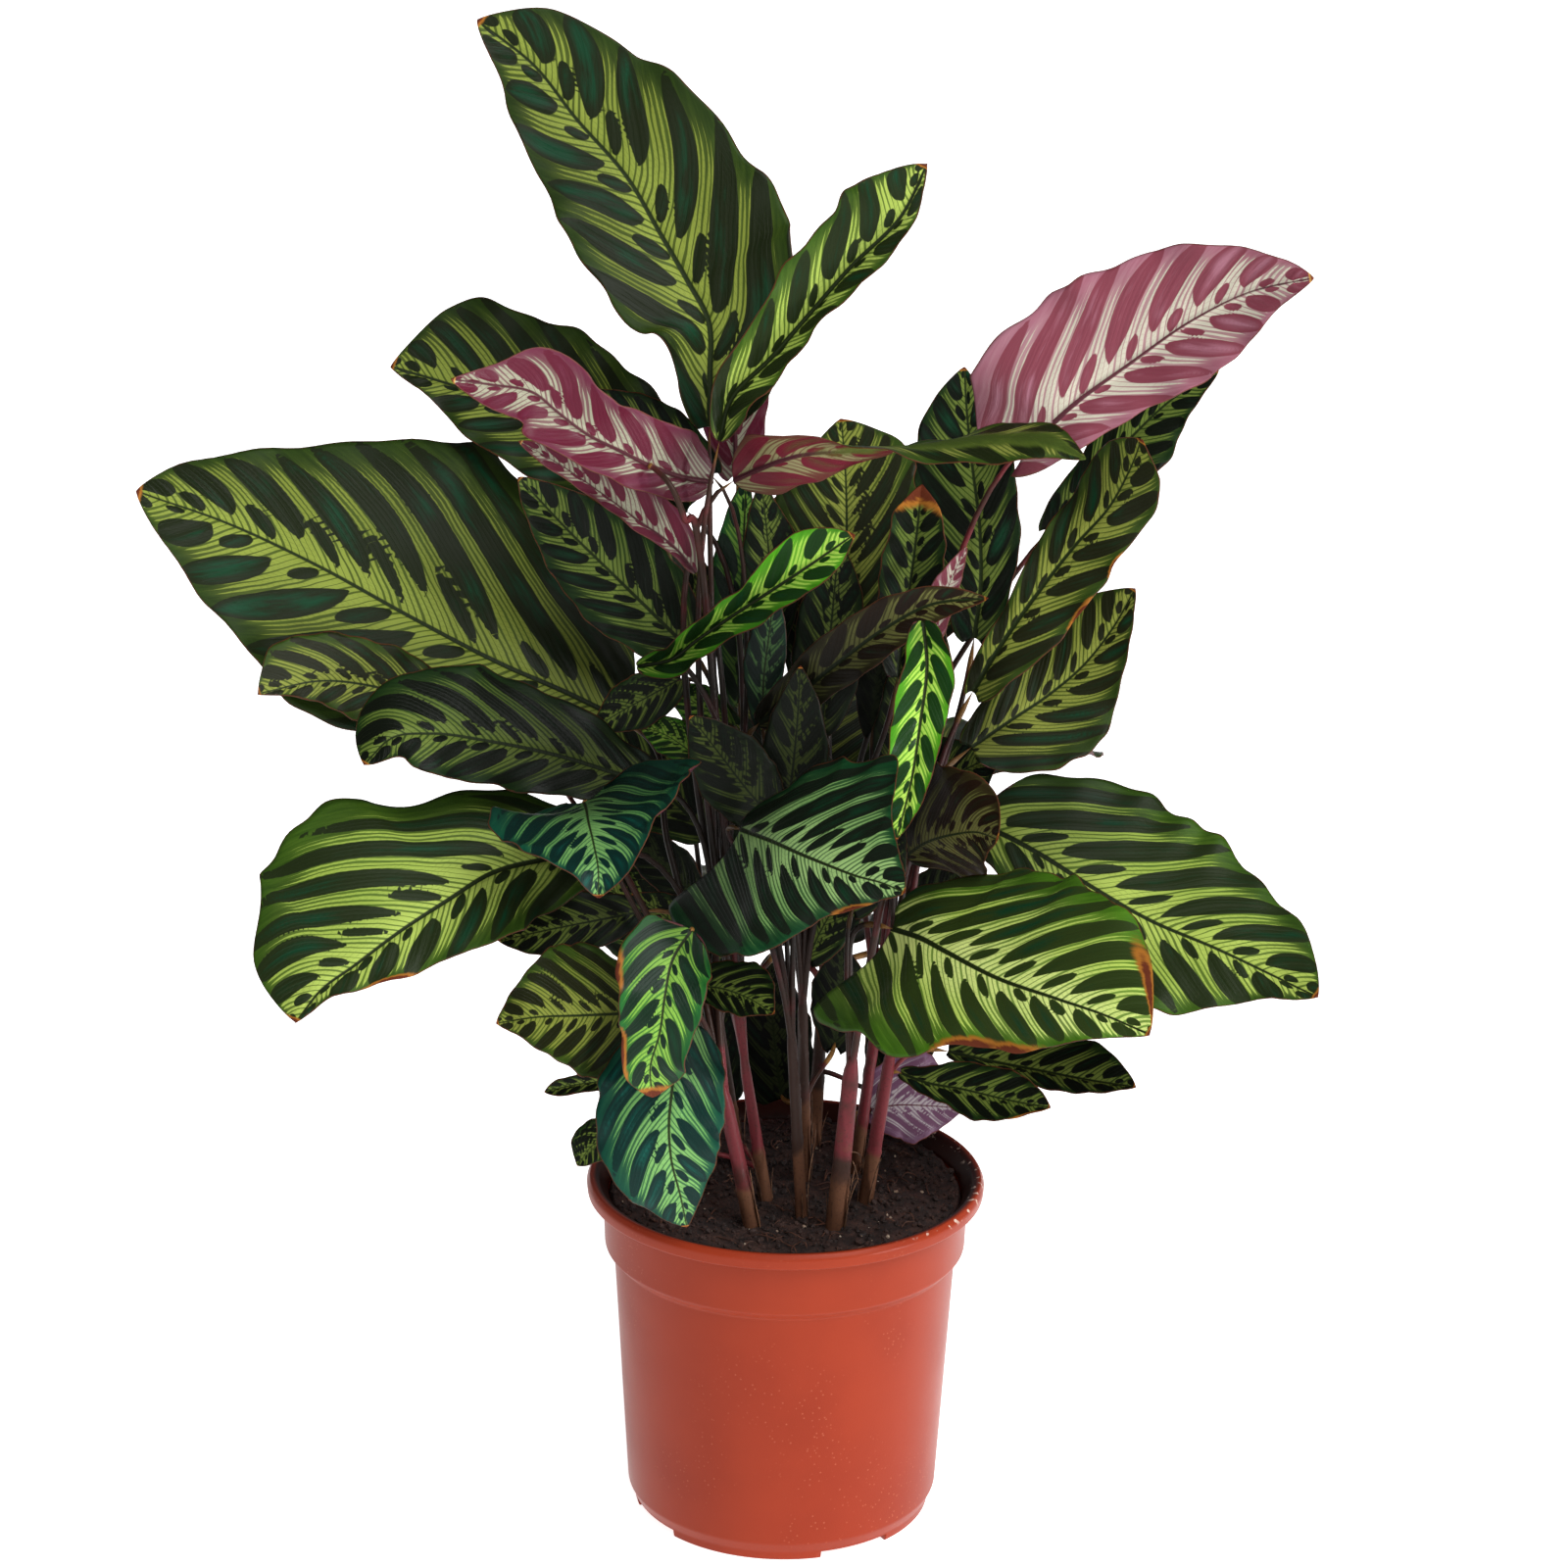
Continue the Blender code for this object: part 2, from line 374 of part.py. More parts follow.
leaf("dark_low", "g", "tiny", [(8, 244, 10), (14, 258, 13), (22, 272, 16), (32, 284, 18)],
     left=(8, 12, 13, 10, 4), right=(8, 12, 13, 10, 4), rise=10, neck=15, fused=True)
leaf("dark_gap", "g", "tiny", [(-22, 356, 31), (-22, 386, 32), (-21, 418, 32), (-20, 452, 31)],
     left=(6, 10, 12, 11, 5), right=(5, 8, 8, 7, 3), rise=60, neck=30, fused=True)
leaf("dark_left", "h", "tiny", [(-38, 270, 14), (-48, 281, 15), (-60, 291, 16), (-74, 298, 16)],
     left=(6, 10, 10, 8, 4), right=(6, 10, 10, 8, 4), rise=30, neck=15, fused=True)
leaf("dark_foot_left", "h", "tiny", [(-30, 178, 48), (-34, 200, 52), (-36, 222, 54), (-36, 246, 54)],
     left=(13, 15, 16, 13, 5), right=(13, 15, 15, 12, 5), shoulder=0.6, rise=8, neck=8, below=62,
     fused=True)
leaf("dark_foot_centre", "i", "tiny", [(-2, 180, 66), (-5, 202, 68), (-7, 224, 70), (-8, 246, 70)],
     left=(14, 16, 16, 12, 5), right=(14, 16, 16, 12, 5), shoulder=0.6, rise=8, neck=8, below=66,
     fused=True)
leaf("dark_foot_right", "i", "tiny", [(44, 182, 46), (48, 204, 50), (50, 226, 52), (50, 248, 52)],
     left=(13, 15, 15, 12, 5), right=(12, 14, 15, 12, 5), shoulder=0.6, rise=8, neck=8, below=50,
     fused=True)
leaf("dark_foot_middle", "g", "tiny", [(20, 204, 30), (21, 220, 33), (22, 236, 35), (22, 252, 36)],
     left=(7, 11, 12, 10, 4), right=(7, 11, 12, 10, 4), rise=20, neck=10, below=62, fused=True)
leaf("dark_slot", "g", "tiny", [(5, 348, 22), (5, 368, 24), (4, 388, 25), (3, 408, 24)],
     left=(4, 7, 8, 6, 3), right=(4, 7, 8, 6, 3), rise=60, neck=25, fused=True)
leaf("dark_slot_right", "f", "tiny", [(33, 344, 30), (34, 358, 31), (35, 372, 32), (36, 388, 32)],
     left=(5, 8, 9, 7, 3), right=(5, 8, 9, 7, 3), rise=50, neck=25, fused=True)
leaf("dark_right", "f", "tiny", [(50, 262, 14), (58, 271, 14), (67, 280, 13), (78, 288, 12)],
     left=(7, 10, 10, 8, 4), right=(6, 9, 9, 7, 3), rise=30, neck=15, fused=True)


def world(across, height, depth):
    """The point seen at (across, height) in the upright plane of the pot's axis, slid to its depth."""
    point = np.array([across, 0.0, height + LEAF_LEVEL])
    return VIEWPOINT + (point - VIEWPOINT) * (1 + depth / VIEW_DISTANCE)


def smooth(at, knots, values):
    """A cubic curve through the values at the knots, level beyond the ends."""
    knots, values = np.asarray(knots, float), np.asarray(values, float)
    slope = np.gradient(values, knots)
    at = np.clip(at, knots[0], knots[-1])
    i = np.clip(np.searchsorted(knots, at) - 1, 0, len(knots) - 2)
    span = knots[i + 1] - knots[i]
    t = (at - knots[i]) / span
    start = (2 * t**3 - 3 * t**2 + 1) * values[i] + (t**3 - 2 * t**2 + t) * span * slope[i]
    end = (3 * t**2 - 2 * t**3) * values[i + 1] + (t**3 - t**2) * span * slope[i + 1]
    return start + end


def midrib_points(plan, s):
    """Points of the midrib at the shares s of its length."""
    points = np.array([world(*p) for p in plan["midrib"]])
    reach = np.r_[0, np.cumsum(np.linalg.norm(np.diff(points, axis=0), axis=1))]
    return np.stack([smooth(s * reach[-1], reach, points[:, k]) for k in range(3)], axis=-1)


def midrib_direction(plan, s):
    step = midrib_points(plan, np.minimum(s + TANGENT_STEP, 1))
    step = step - midrib_points(plan, np.maximum(s - TANGENT_STEP, 0))
    return step / np.linalg.norm(step, axis=-1, keepdims=True)


def outline(s, widest, shoulder):
    """The share of its full width that a blade has: a rounded base, a full middle and a pointed tip."""
    before = 1 - np.clip(s / widest, 0, 1)
    after = np.clip((s - widest) / (1 - widest), 0, 1)
    base = shoulder + (1 - shoulder) * np.sqrt(1 - before**BASE_CURVE)
    tip = np.cos(after * math.pi / 2) ** TIP_CURVE * (1 - TIP_PINCH * after**6)
    return np.where(s < widest, base, np.maximum(tip, TIP_WIDTH))


def blade_points(plan, s, q):
    """Points of the blade at the shares s along its midrib and q across it, from -1 to 1."""
    centre = midrib_points(plan, s)
    along = midrib_direction(plan, s)
    look = centre - VIEWPOINT
    if plan["from_above"]:
        look = np.broadcast_to([0.0, 0.0, -1.0], centre.shape)
    across = np.cross(along, look)
    across /= np.linalg.norm(across, axis=1, keepdims=True)
    toward = np.cross(along, across)
    halves = [half_blade(plan, k, s, np.abs(q), centre, along, across, toward) for k in (0, 1)]
    return np.where((q < 0)[:, None], *halves)


def half_blade(plan, half, s, r, centre, along, across, toward):
    """One half of a blade at the shares r from its midrib to its edge: half 0 is the right one."""
    side = (-1, 1)[half]
    shoulder = plan["shoulders"][half]
    fit = np.array(plan["widths"][half]) / outline(STATIONS, plan["widest"], shoulder)
    width = outline(s, plan["widest"], shoulder) * smooth(s, STATIONS, fit)
    width /= np.cos(np.radians(smooth(s, [0, 0.5, 1], plan["roll"])))
    reach = width * (1 + centre[:, 1] / VIEW_DISTANCE)
    lift = np.radians(smooth(s, [0, 0.5, 1], plan["lifts"][half]))
    cup = math.radians(plan["cups"][half]) or ALMOST_FLAT
    out = (np.sin(lift + cup * r) - np.sin(lift)) / cup * reach
    up = (np.cos(lift) - np.cos(lift + cup * r)) / cup * reach
    waves = RIPPLES + MORE_RIPPLES * (plan["order"] % 4)
    wave = np.sin(math.tau * waves * s + LEAF_PHASE * plan["order"] + HALF_PHASE * half)
    wave = wave * np.minimum(1, width / FULL_RIPPLE_WIDTH) * np.sqrt(np.sin(math.pi * s))
    ripple = plan["ripple"] * r**RIPPLE_GROWTH * wave
    out -= np.sin(lift + cup * r) * ripple
    up += np.cos(lift + cup * r) * ripple
    near_base = np.clip(1 - s / LOBE_END, 0, 1) ** LOBE_FADE
    back = plan["lobes"][half] * near_base * r**RIPPLE_GROWTH
    return centre + side * across * out[:, None] + toward * up[:, None] - along * back[:, None]


def stalk_points(plan):
    """The centre line of a leaf's stalk, from inside its sheath to the base of its blade."""
    foot, lean = sheath_axis(plan["stem"])
    top = np.array(STEMS[plan["stem"]]["top"], float)
    start = top - lean * plan["below"]
    s = np.array([plan["joins"]])
    end, direction = midrib_points(plan, s)[0], midrib_direction(plan, s)[0]
    if plan["joins"] > 0:
        look = (end - VIEWPOINT) / np.linalg.norm(end - VIEWPOINT)
        end = end + look * plan["face"] * STALK_BEHIND
    else:
        end = end + direction * (ROOTED if plan["fused"] else -STALK_GAP)
    knots = [start] + [world(*p) for p in plan["via"]] + [end]
    handles = [lean * plan["rise"]]
    handles += [(after - before) / 6 for before, after in zip(knots, knots[2:])]
    handles += [direction * plan["neck"]]
    line = [start]
    for k in range(len(knots) - 1):
        last = k == len(knots) - 2
        for t in SINGLE_STEPS if len(knots) == 2 else LAST_STEPS if last else PASSING_STEPS:
            line.append((1 - t) ** 3 * knots[k] + 3 * (1 - t) ** 2 * t * (knots[k] + handles[k])
                        + 3 * (1 - t) * t**2 * (knots[k + 1] - handles[k + 1]) + t**3 * knots[k + 1])
    return line


def sheath_axis(stem):
    """The point where a stem leaves the soil, and its direction."""
    foot = np.array([*STEMS[stem]["foot"], SOIL_TOP], float)
    lean = np.array(STEMS[stem]["top"], float) - foot
    return foot, lean / np.linalg.norm(lean)


def new_object(name, mesh, colour=None):
    piece = bpy.data.objects.new(name, mesh)
    bpy.context.scene.collection.objects.link(piece)
    if colour:
        mesh.materials.clear()
        mesh.materials.append(material(colour))
    return piece


def material(name):
    found = bpy.data.materials.get(name)
    if found:
        return found
    colour, roughness = COLOURS[name]
    made = bpy.data.materials.new(name)
    made.use_nodes = True
    made.diffuse_color = (*colour, 1)
    shader = made.node_tree.nodes["Principled BSDF"]
    shader.inputs["Base Color"].default_value = (*colour, 1)
    shader.inputs["Roughness"].default_value = roughness
    shader.inputs["Metallic"].default_value = 0.0
    return made


def finished(bm, name):
    """A mesh from a bmesh, with its faces pointing out and its soft edges smooth."""
    bmesh.ops.recalc_face_normals(bm, faces=bm.faces)
    mesh = bpy.data.meshes.new(name)
    bm.to_mesh(mesh)
    bm.free()
    mesh.shade_smooth()
    mesh.set_sharp_from_angle(angle=math.radians(SHARP_ANGLE))
    return mesh


def turned(name, section, steps):
    """A half section of (radius, height) points that starts and ends on the axis, spun to a body."""
    bm = bmesh.new()
    points = [bm.verts.new((radius * MM, 0, height * MM)) for radius, height in section]
    edges = [bm.edges.new(ends) for ends in zip(points, points[1:])]
    bmesh.ops.spin(bm, geom=points + edges, cent=(0, 0, 0), axis=(0, 0, 1), angle=math.tau,
                   steps=steps, use_merge=True)
    bmesh.ops.remove_doubles(bm, verts=bm.verts, dist=MERGED)
    return finished(bm, name)


def tube(name, line, radii, sides):
    """A round bar along a line of points, closed at both ends."""
    curve = bpy.data.curves.new(name, "CURVE")
    curve.dimensions = "3D"
    curve.bevel_depth = MM
    curve.bevel_resolution = (sides - 4) // 2
    curve.use_fill_caps = True
    spline = curve.splines.new("POLY")
    spline.points.add(len(line) - 1)
    for knot, point, radius in zip(spline.points, line, radii):
        knot.co = (*(Vector(point) * MM), 1)
        knot.radius = radius
    bar = new_object(name, curve)
    mesh = bpy.data.meshes.new_from_object(bar.evaluated_get(bpy.context.evaluated_depsgraph_get()))
    bpy.data.objects.remove(bar)
    bpy.data.curves.remove(curve)
    bm = bmesh.new()
    bm.from_mesh(mesh)
    bpy.data.meshes.remove(mesh)
    bmesh.ops.remove_doubles(bm, verts=bm.verts, dist=MERGED)
    return new_object(name, finished(bm, name))


def cut_or_join(piece, others, operation):
    """Apply one Boolean with a collection of objects, and remove them."""
    group = bpy.data.collections.new(piece.name + "_repeats")
    for other in others:
        group.objects.link(other)
    step = piece.modifiers.new("repeats", "BOOLEAN")
    step.operation = operation
    step.operand_type = "COLLECTION"
    step.collection = group
    step.solver = "EXACT"
    apply_modifiers(piece)
    for other in others:
        bpy.data.objects.remove(other)
    bpy.data.collections.remove(group)


def apply_modifiers(piece):
    mesh = bpy.data.meshes.new_from_object(piece.evaluated_get(bpy.context.evaluated_depsgraph_get()))
    piece.modifiers.clear()
    piece.data = mesh


def pot_section():
    """The pot's half section, from the middle of its floor over the rim to the middle of its underside."""
    shoulder = COLLAR_BOTTOM - CHAMFER
    inside = [
        (0, FLOOR_TOP),
        (FOOT_OUTER - WALL, FLOOR_TOP),
        (BODY_TOP_RADIUS - WALL, shoulder),
        (COLLAR_RADIUS - WALL, COLLAR_BOTTOM),
        (COLLAR_RADIUS - WALL, LIP_BOTTOM),
        (RIM_RADIUS - RIM_WIDTH, RIM_TOP - RIM_STEP),
    ]
    outside = [
        (RIM_RADIUS - RIM_ROUND, RIM_TOP),
        (RIM_RADIUS, RIM_TOP - RIM_DROP),
        (RIM_RADIUS - LIP_UNDERCUT, LIP_BOTTOM),
        (COLLAR_RADIUS, LIP_BOTTOM - LIP_UNDERCUT),
        (COLLAR_RADIUS - COLLAR_TAPER, COLLAR_BOTTOM),
        (BODY_TOP_RADIUS, shoulder),
        (BODY_FOOT_RADIUS, FOOT_HEIGHT + BODY_TURN),
        (FOOT_OUTER, FOOT_HEIGHT),
    ]
    ring = [(FOOT_OUTER - FOOT_DRAFT, 0), (FOOT_INNER + FOOT_DRAFT, 0), (FOOT_INNER, FOOT_HEIGHT)]
    pad = [(PAD_RADIUS, FOOT_HEIGHT), (PAD_RADIUS - FOOT_DRAFT, 0), (0, 0)]
    return inside + outside + ring + pad


def round_the_axis(count, radius, start, height):
    """Places at even angles on a circle, each turned to face out."""
    for k in range(count):
        turn = Matrix.Rotation(math.radians(start) + math.tau * k / count, 4, "Z")
        yield turn @ Matrix.Translation((radius * MM, 0, height * MM))


def foot_recess(place):
    """A cutter for the recess between two feet."""
    bm = bmesh.new()
    size = Vector((RECESS_LENGTH, RECESS_WIDTH, 2 * RECESS_HEIGHT)) * MM
    bmesh.ops.create_cube(bm, size=1, matrix=place @ Matrix.Diagonal((*size, 1)))
    return new_object("recess", finished(bm, "recess"))


def drain_hole(place):
    """A cutter for a drain hole in the floor."""
    bm = bmesh.new()
    bmesh.ops.create_cone(bm, cap_ends=True, segments=DRAIN_SIDES, radius1=DRAIN_RADIUS * MM,
                          radius2=DRAIN_RADIUS * MM, depth=3 * FLOOR_TOP * MM, matrix=place)
    return new_object("drain", finished(bm, "drain"))


def build_pot():
    pot = new_object("pot", turned("pot", pot_section(), POT_STEPS), "terracotta")
    between = FOOT_TURN + 180 / FEET
    recesses = [foot_recess(p) for p in round_the_axis(FEET, (FOOT_OUTER + FOOT_INNER) / 2, between, 0)]
    drains = [drain_hole(p) for p in round_the_axis(DRAINS, DRAIN_CIRCLE, 0, FLOOR_TOP / 2)]
    cut_or_join(pot, recesses + drains, "DIFFERENCE")


def soil_relief(x, y):
    """The soil's rise over its flat level: a low mound toward the back, and small lumps."""
    far = (x - MOUND_PLACE[0]) ** 2 + (y - MOUND_PLACE[1]) ** 2
    mound = MOUND_HEIGHT * math.exp(-far / (2 * MOUND_SPREAD**2))
    return mound + SOIL_RELIEF * noise.noise(Vector((x, y, 0)) / LUMP_SIZE)


def build_soil():
    """The soil fills the pot, with a hole for each stem."""
    shoulder = COLLAR_BOTTOM - CHAMFER
    section = [
        (0, FLOOR_TOP + SOIL_GAP),
        (FOOT_OUTER - WALL - SOIL_GAP, FLOOR_TOP + SOIL_GAP),
        (BODY_TOP_RADIUS - WALL - SOIL_GAP, shoulder),
        (COLLAR_RADIUS - WALL - SOIL_GAP, COLLAR_BOTTOM + SOIL_GAP),
        (COLLAR_RADIUS - WALL - SOIL_GAP, SOIL_EDGE),
    ]
    section += [(radius, SOIL_TOP) for radius in SOIL_RINGS]
    soil = new_object("soil", turned("soil", section, SOIL_STEPS), "soil")
    for vertex in soil.data.vertices:
        x, y, z = vertex.co / MM
        if z > SOIL_TOP - SURFACE_SLACK:
            vertex.co.z += soil_relief(x, y) * MM
    holes = []
    for stem, plan in STEMS.items():
        foot, lean = sheath_axis(stem)
        line = [foot - lean * (ROOT_DEPTH + HOLE_GAP), foot + lean * ROOT_DEPTH]
        radii = [plan["radii"][0] + HOLE_GAP] * 2
        holes.append(tube("hole", line, radii, SHEATH_SIDES))
    cut_or_join(soil, holes, "DIFFERENCE")


def blade(name, plan):
    """The blade of a leaf, as a grid bent to its form and given its thickness."""
    rows, columns = GRIDS[plan["size"]]
    bm = bmesh.new()
    bmesh.ops.create_grid(bm, x_segments=columns, y_segments=rows, size=1)
    across = np.array([vertex.co.x for vertex in bm.verts])
    even = np.array([vertex.co.y for vertex in bm.verts]) / 2 + 0.5
    along = (1 - CROWDED_ENDS) * even + CROWDED_ENDS * (1 - np.cos(math.pi * even)) / 2
    for vertex, point in zip(bm.verts, blade_points(plan, along, across)):
        vertex.co = Vector(point) * MM
    bmesh.ops.triangulate(bm, faces=bm.faces)
    mesh = finished(bm, name)
    piece = new_object(name, mesh, "leaf_green" if plan["face"] > 0 else "leaf_purple")
    skin = piece.modifiers.new("thickness", "SOLIDIFY")
    skin.thickness = BLADE * MM
    skin.offset = 0
    return piece


def build_stem(stem):
    """A stem's sheath joined with the stalks of its leaves, and with the small leaves deep inside."""
    foot, lean = sheath_axis(stem)
    top = np.array(STEMS[stem]["top"], float)
    wide, narrow = STEMS[stem]["radii"]
    line = [foot - lean * ROOT_DEPTH, foot, (foot + top) / 2, top]
    sheath = tube("stem_" + stem, line, [wide, wide, (wide + narrow) / 2, narrow], SHEATH_SIDES)
    sheath.data.materials.append(material("stalk"))
    joined = []
    for name, plan in LEAVES.items():
        if plan["stem"] != stem:
            continue
        points = stalk_points(plan)
        thick = STALK_RADIUS["small"] if plan["thin"] else STALK_RADIUS[plan["size"]]
        radii = list(np.linspace(thick, thick * STALK_TIP, len(points)))
        joined.append(tube("stalk", points, radii, STALK_SIDES))
        if plan["fused"]:
            joined.append(blade(name, plan))
            apply_modifiers(joined[-1])
    cut_or_join(sheath, joined, "UNION")


def main():
    for piece in list(bpy.data.objects):
        bpy.data.objects.remove(piece)
    build_pot()
    build_soil()
    for stem in STEMS:
        build_stem(stem)
    for name, plan in LEAVES.items():
        if not plan["fused"]:
            blade("leaf_" + name, plan)


main()
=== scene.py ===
"""Potted calathea, dressed: fine patterned blades, stalks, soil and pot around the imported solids.

The sizes are in millimetres and each mesh is scaled as it is made. The blades and stalks follow the
same table and the same formulas as the solids that they replace.
"""

import functools
import math

import bmesh
import bpy
import numpy as np
from mathutils import Matrix, Vector, noise

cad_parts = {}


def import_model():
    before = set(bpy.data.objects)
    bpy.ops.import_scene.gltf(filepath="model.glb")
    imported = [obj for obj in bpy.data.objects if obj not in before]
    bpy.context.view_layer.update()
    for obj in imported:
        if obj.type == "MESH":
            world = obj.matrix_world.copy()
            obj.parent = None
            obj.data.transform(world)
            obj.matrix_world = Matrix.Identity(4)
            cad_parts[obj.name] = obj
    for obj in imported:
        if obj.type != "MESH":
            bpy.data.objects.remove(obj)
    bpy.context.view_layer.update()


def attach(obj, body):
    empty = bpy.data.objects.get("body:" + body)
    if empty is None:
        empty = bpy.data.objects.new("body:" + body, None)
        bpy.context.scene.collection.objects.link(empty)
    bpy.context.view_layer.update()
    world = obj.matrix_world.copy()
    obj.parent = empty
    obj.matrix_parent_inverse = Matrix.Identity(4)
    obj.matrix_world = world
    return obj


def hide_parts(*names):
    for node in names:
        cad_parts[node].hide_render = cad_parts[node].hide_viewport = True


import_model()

MM = 0.001

# The point that the leaves are placed from, which is also the camera's
VIEWPOINT = np.array([-3.0, -1600.0, 848.5])
VIEW_DISTANCE = 1600.0
LEAF_LEVEL = 4.5
VIEW_TILT = 18.1
VIEW_ROLL = 0.8
VIEW_LENS = 93.285

# Studio lights
KEY_STRENGTH = 2.4
KEY_DIRECTION = (-0.55, 0.62, -1.0)
KEY_SPREAD = 40
WORLD_STRENGTH = 0.22
FLOOR_GLOW = 0.85
FLOOR_SIZE = 12

# Pot: radii are outer ones, heights are above the surface that it stands on
RIM_RADIUS = 85.0
RIM_TOP = 151.0
RIM_WIDTH = 5.0
RIM_STEP = 1.0
RIM_ROUND = 1.6
RIM_DROP = 2.6
LIP_BOTTOM = 144.0
LIP_UNDERCUT = 0.4
COLLAR_RADIUS = 78.0
COLLAR_BOTTOM = 120.5
COLLAR_TAPER = 0.8
CHAMFER = 4.0
BODY_TOP_RADIUS = 73.2
BODY_FOOT_RADIUS = 67.0
BODY_TURN = 5.0
WALL = 2.4
FLOOR_TOP = 6.8
FOOT_HEIGHT = 4.0
FOOT_OUTER = 64.5
FOOT_INNER = 54.0
FOOT_DRAFT = 0.6
PAD_RADIUS = 14.0
FEET = 4
FOOT_TURN = -105.0
RECESS_LENGTH = 24.5
RECESS_WIDTH = 32.0
RECESS_HEIGHT = 3.4
DRAINS = 6
DRAIN_RADIUS = 5.0
DRAIN_CIRCLE = 36.0
POT_STEPS = 160
CORNER_ROUND = 0.9

# Soil
SOIL_TOP = 143.5
SOIL_EDGE = 142.0
SOIL_GAP = 0.6
SOIL_RELIEF = 1.3
SOIL_STEPS = 200
SOIL_RINGS = 76
SURFACE_SLACK = 0.1
MOUND_HEIGHT = 2.6
MOUND_PLACE = (30.0, 38.0)
MOUND_SPREAD = 28.0
CRUMBS = 1500
SPECKS = 60
CRUMB_CIRCLE = 73.5
CRUMB_SEED = 5
FIBRES = 110
FIBRE_CIRCLE = 70
STRIPS_PER_STEM = 3

# Stems: each leans from its foot in the soil to its top, where the leaf stalks part
ROOT_DEPTH = 20.0
STEMS = {
    "a": {"foot": (-14, -38), "top": (-27, -42, 209.5), "radii": (4.2, 3.2), "blush": 0.75},
    "b": {"foot": (-8, -13), "top": (-19, -18, 214.5), "radii": (3.0, 2.4), "blush": 0.85},
    "c": {"foot": (7, -30), "top": (1, -30, 234.5), "radii": (2.6, 2.2), "blush": 0.1},
    "d": {"foot": (21, -40), "top": (27, -46, 224.5), "radii": (4.0, 3.3), "blush": 0.5},
    "e": {"foot": (34, -14), "top": (44, -18, 219.5), "radii": (3.2, 2.6), "blush": 0.9},
    "f": {"foot": (30, 14), "top": (38, 20, 214.5), "radii": (3.0, 2.4), "blush": 0.75},
    "g": {"foot": (8, 6), "top": (6, 8, 234.5), "radii": (3.4, 2.6), "blush": 0.1},
    "h": {"foot": (-20, 22), "top": (-32, 38, 219.5), "radii": (3.4, 2.6), "blush": 0.2},
    "i": {"foot": (12, 40), "top": (16, 60, 224.5), "radii": (3.4, 2.6), "blush": 0.1},
}

# Blades: rows and columns of each size, the sheet's thickness, and the rib that stands out behind it
GRIDS = {"large": (100, 56), "medium": (70, 40), "small": (48, 28), "tiny": (30, 18)}
SHEET = 0.35
# How far the painted shade inside the crown darkens blades and stalks toward black
PAINTED_SHADE_DEPTH = 0.85
BLUNTNESS = 0.6
RIB = 1.7
STALK_RADIUS = {"large": 1.7, "medium": 1.7, "small": 1.3, "tiny": 1.3}
STALK_TIP = 0.6
STALK_GAP = 0.8
STALK_BEHIND = 1.75
STALK_BLUSH = {
    "pink_large": 0.5, "purple_front": 0.4, "right_twisted": 0.6, "bottom_right": 0.7, "low_purple": 0.8,
}
ROOTED = 2.5
STATIONS = np.array([0.1, 0.3, 0.5, 0.7, 0.9])

BAR_VALUES = ("age", "place", "blush", "painted_shade")

LEAVES = {}


def leaf(name, stem, size, midrib, left, right=None, lift=0, lift_left=None, lift_right=None, roll=0,
         cup=(0, 0), face=1, ripple=1.2, lobe=4.0, shoulder=0.3, widest=0.45, rise=60, neck=30, via=(),
         joins=0.0, below=22, from_above=False, thin=False):
    """Add a leaf. Its midrib is a list of (across, height, depth) from base to tip.

    left and right are the half widths at five stations along the midrib, on the picture's left and
    right hand as the midrib is followed; right is as left where it isn't given. lift turns both halves
    toward the viewer in degrees, or lift_left and lift_right each its own. roll turns the whole blade,
    and cup curls it in toward its edge: at the base, the middle and the tip where three values are
    given. face is 1 where the green upper side is seen, and -1 for the underside. lobe sweeps the base
    back, shoulder is the base's width and widest the place of the full width. The stalk leaves the
    sheath a distance below its top, rises along it, passes via some points and bends into the midrib
    over its neck, at the share of the midrib where it joins. A tiny leaf is part of its stem in the solids.
    """
    roll = triple(roll)
    LEAVES[name] = {
        "stem": stem, "size": size, "midrib": midrib, "widths": (right or left, left), "roll": roll,
        "lifts": ([p - q for p, q in zip(triple(lift if lift_right is None else lift_right), roll)],
                  [p + q for p, q in zip(triple(lift if lift_left is None else lift_left), roll)]),
        "cups": pair(cup)[::-1], "face": face, "ripple": ripple, "lobes": pair(lobe)[::-1],
        "shoulders": pair(shoulder)[::-1], "widest": widest, "rise": rise, "neck": neck, "via": via,
        "joins": joins, "below": below, "fused": size == "tiny", "from_above": from_above, "thin": thin,
        "order": len(LEAVES),
    }


def pair(value):
    return (value, value) if np.isscalar(value) else value


def triple(value):
    return (value, value, value) if np.isscalar(value) else value


leaf("top_large", "b", "large",
     [(-35, 472, 8), (-35, 492, 14), (-36, 516, 22), (-44, 531, 28), (-55, 550, 35), (-68, 572, 42),
      (-89, 596, 50), (-104, 615, 54), (-127, 633, 56)],
     left=(15, 31, 34, 26, 12), right=(26, 45, 44, 36, 20), lift=(22, 10, 5),
     roll=10, rise=90, neck=70, lobe=3)
leaf("top_narrow", "b", "medium",
     [(-31, 466, -12), (-27, 482, -11), (-10, 501, -11), (5, 519, -13), (20, 537, -16), (40, 558, -26),
      (50, 579, -38)],
     left=(9, 18, 22, 22, 20), right=(12, 12, 11, 10, 4), lift_left=(35, 30, 5),
     lift_right=(45, 55, 10), rise=100, neck=80, lobe=0, shoulder=0.1)
leaf("upper_left", "b", "large",
     [(-44, 437, 38), (-62, 447, 46), (-84, 461, 56), (-108, 474, 64), (-131, 485, 70), (-163, 495, 74)],
     left=(12, 19, 21, 18, 6), right=(20, 34, 39, 37, 26), lift=10, roll=15, rise=90,
     neck=50)
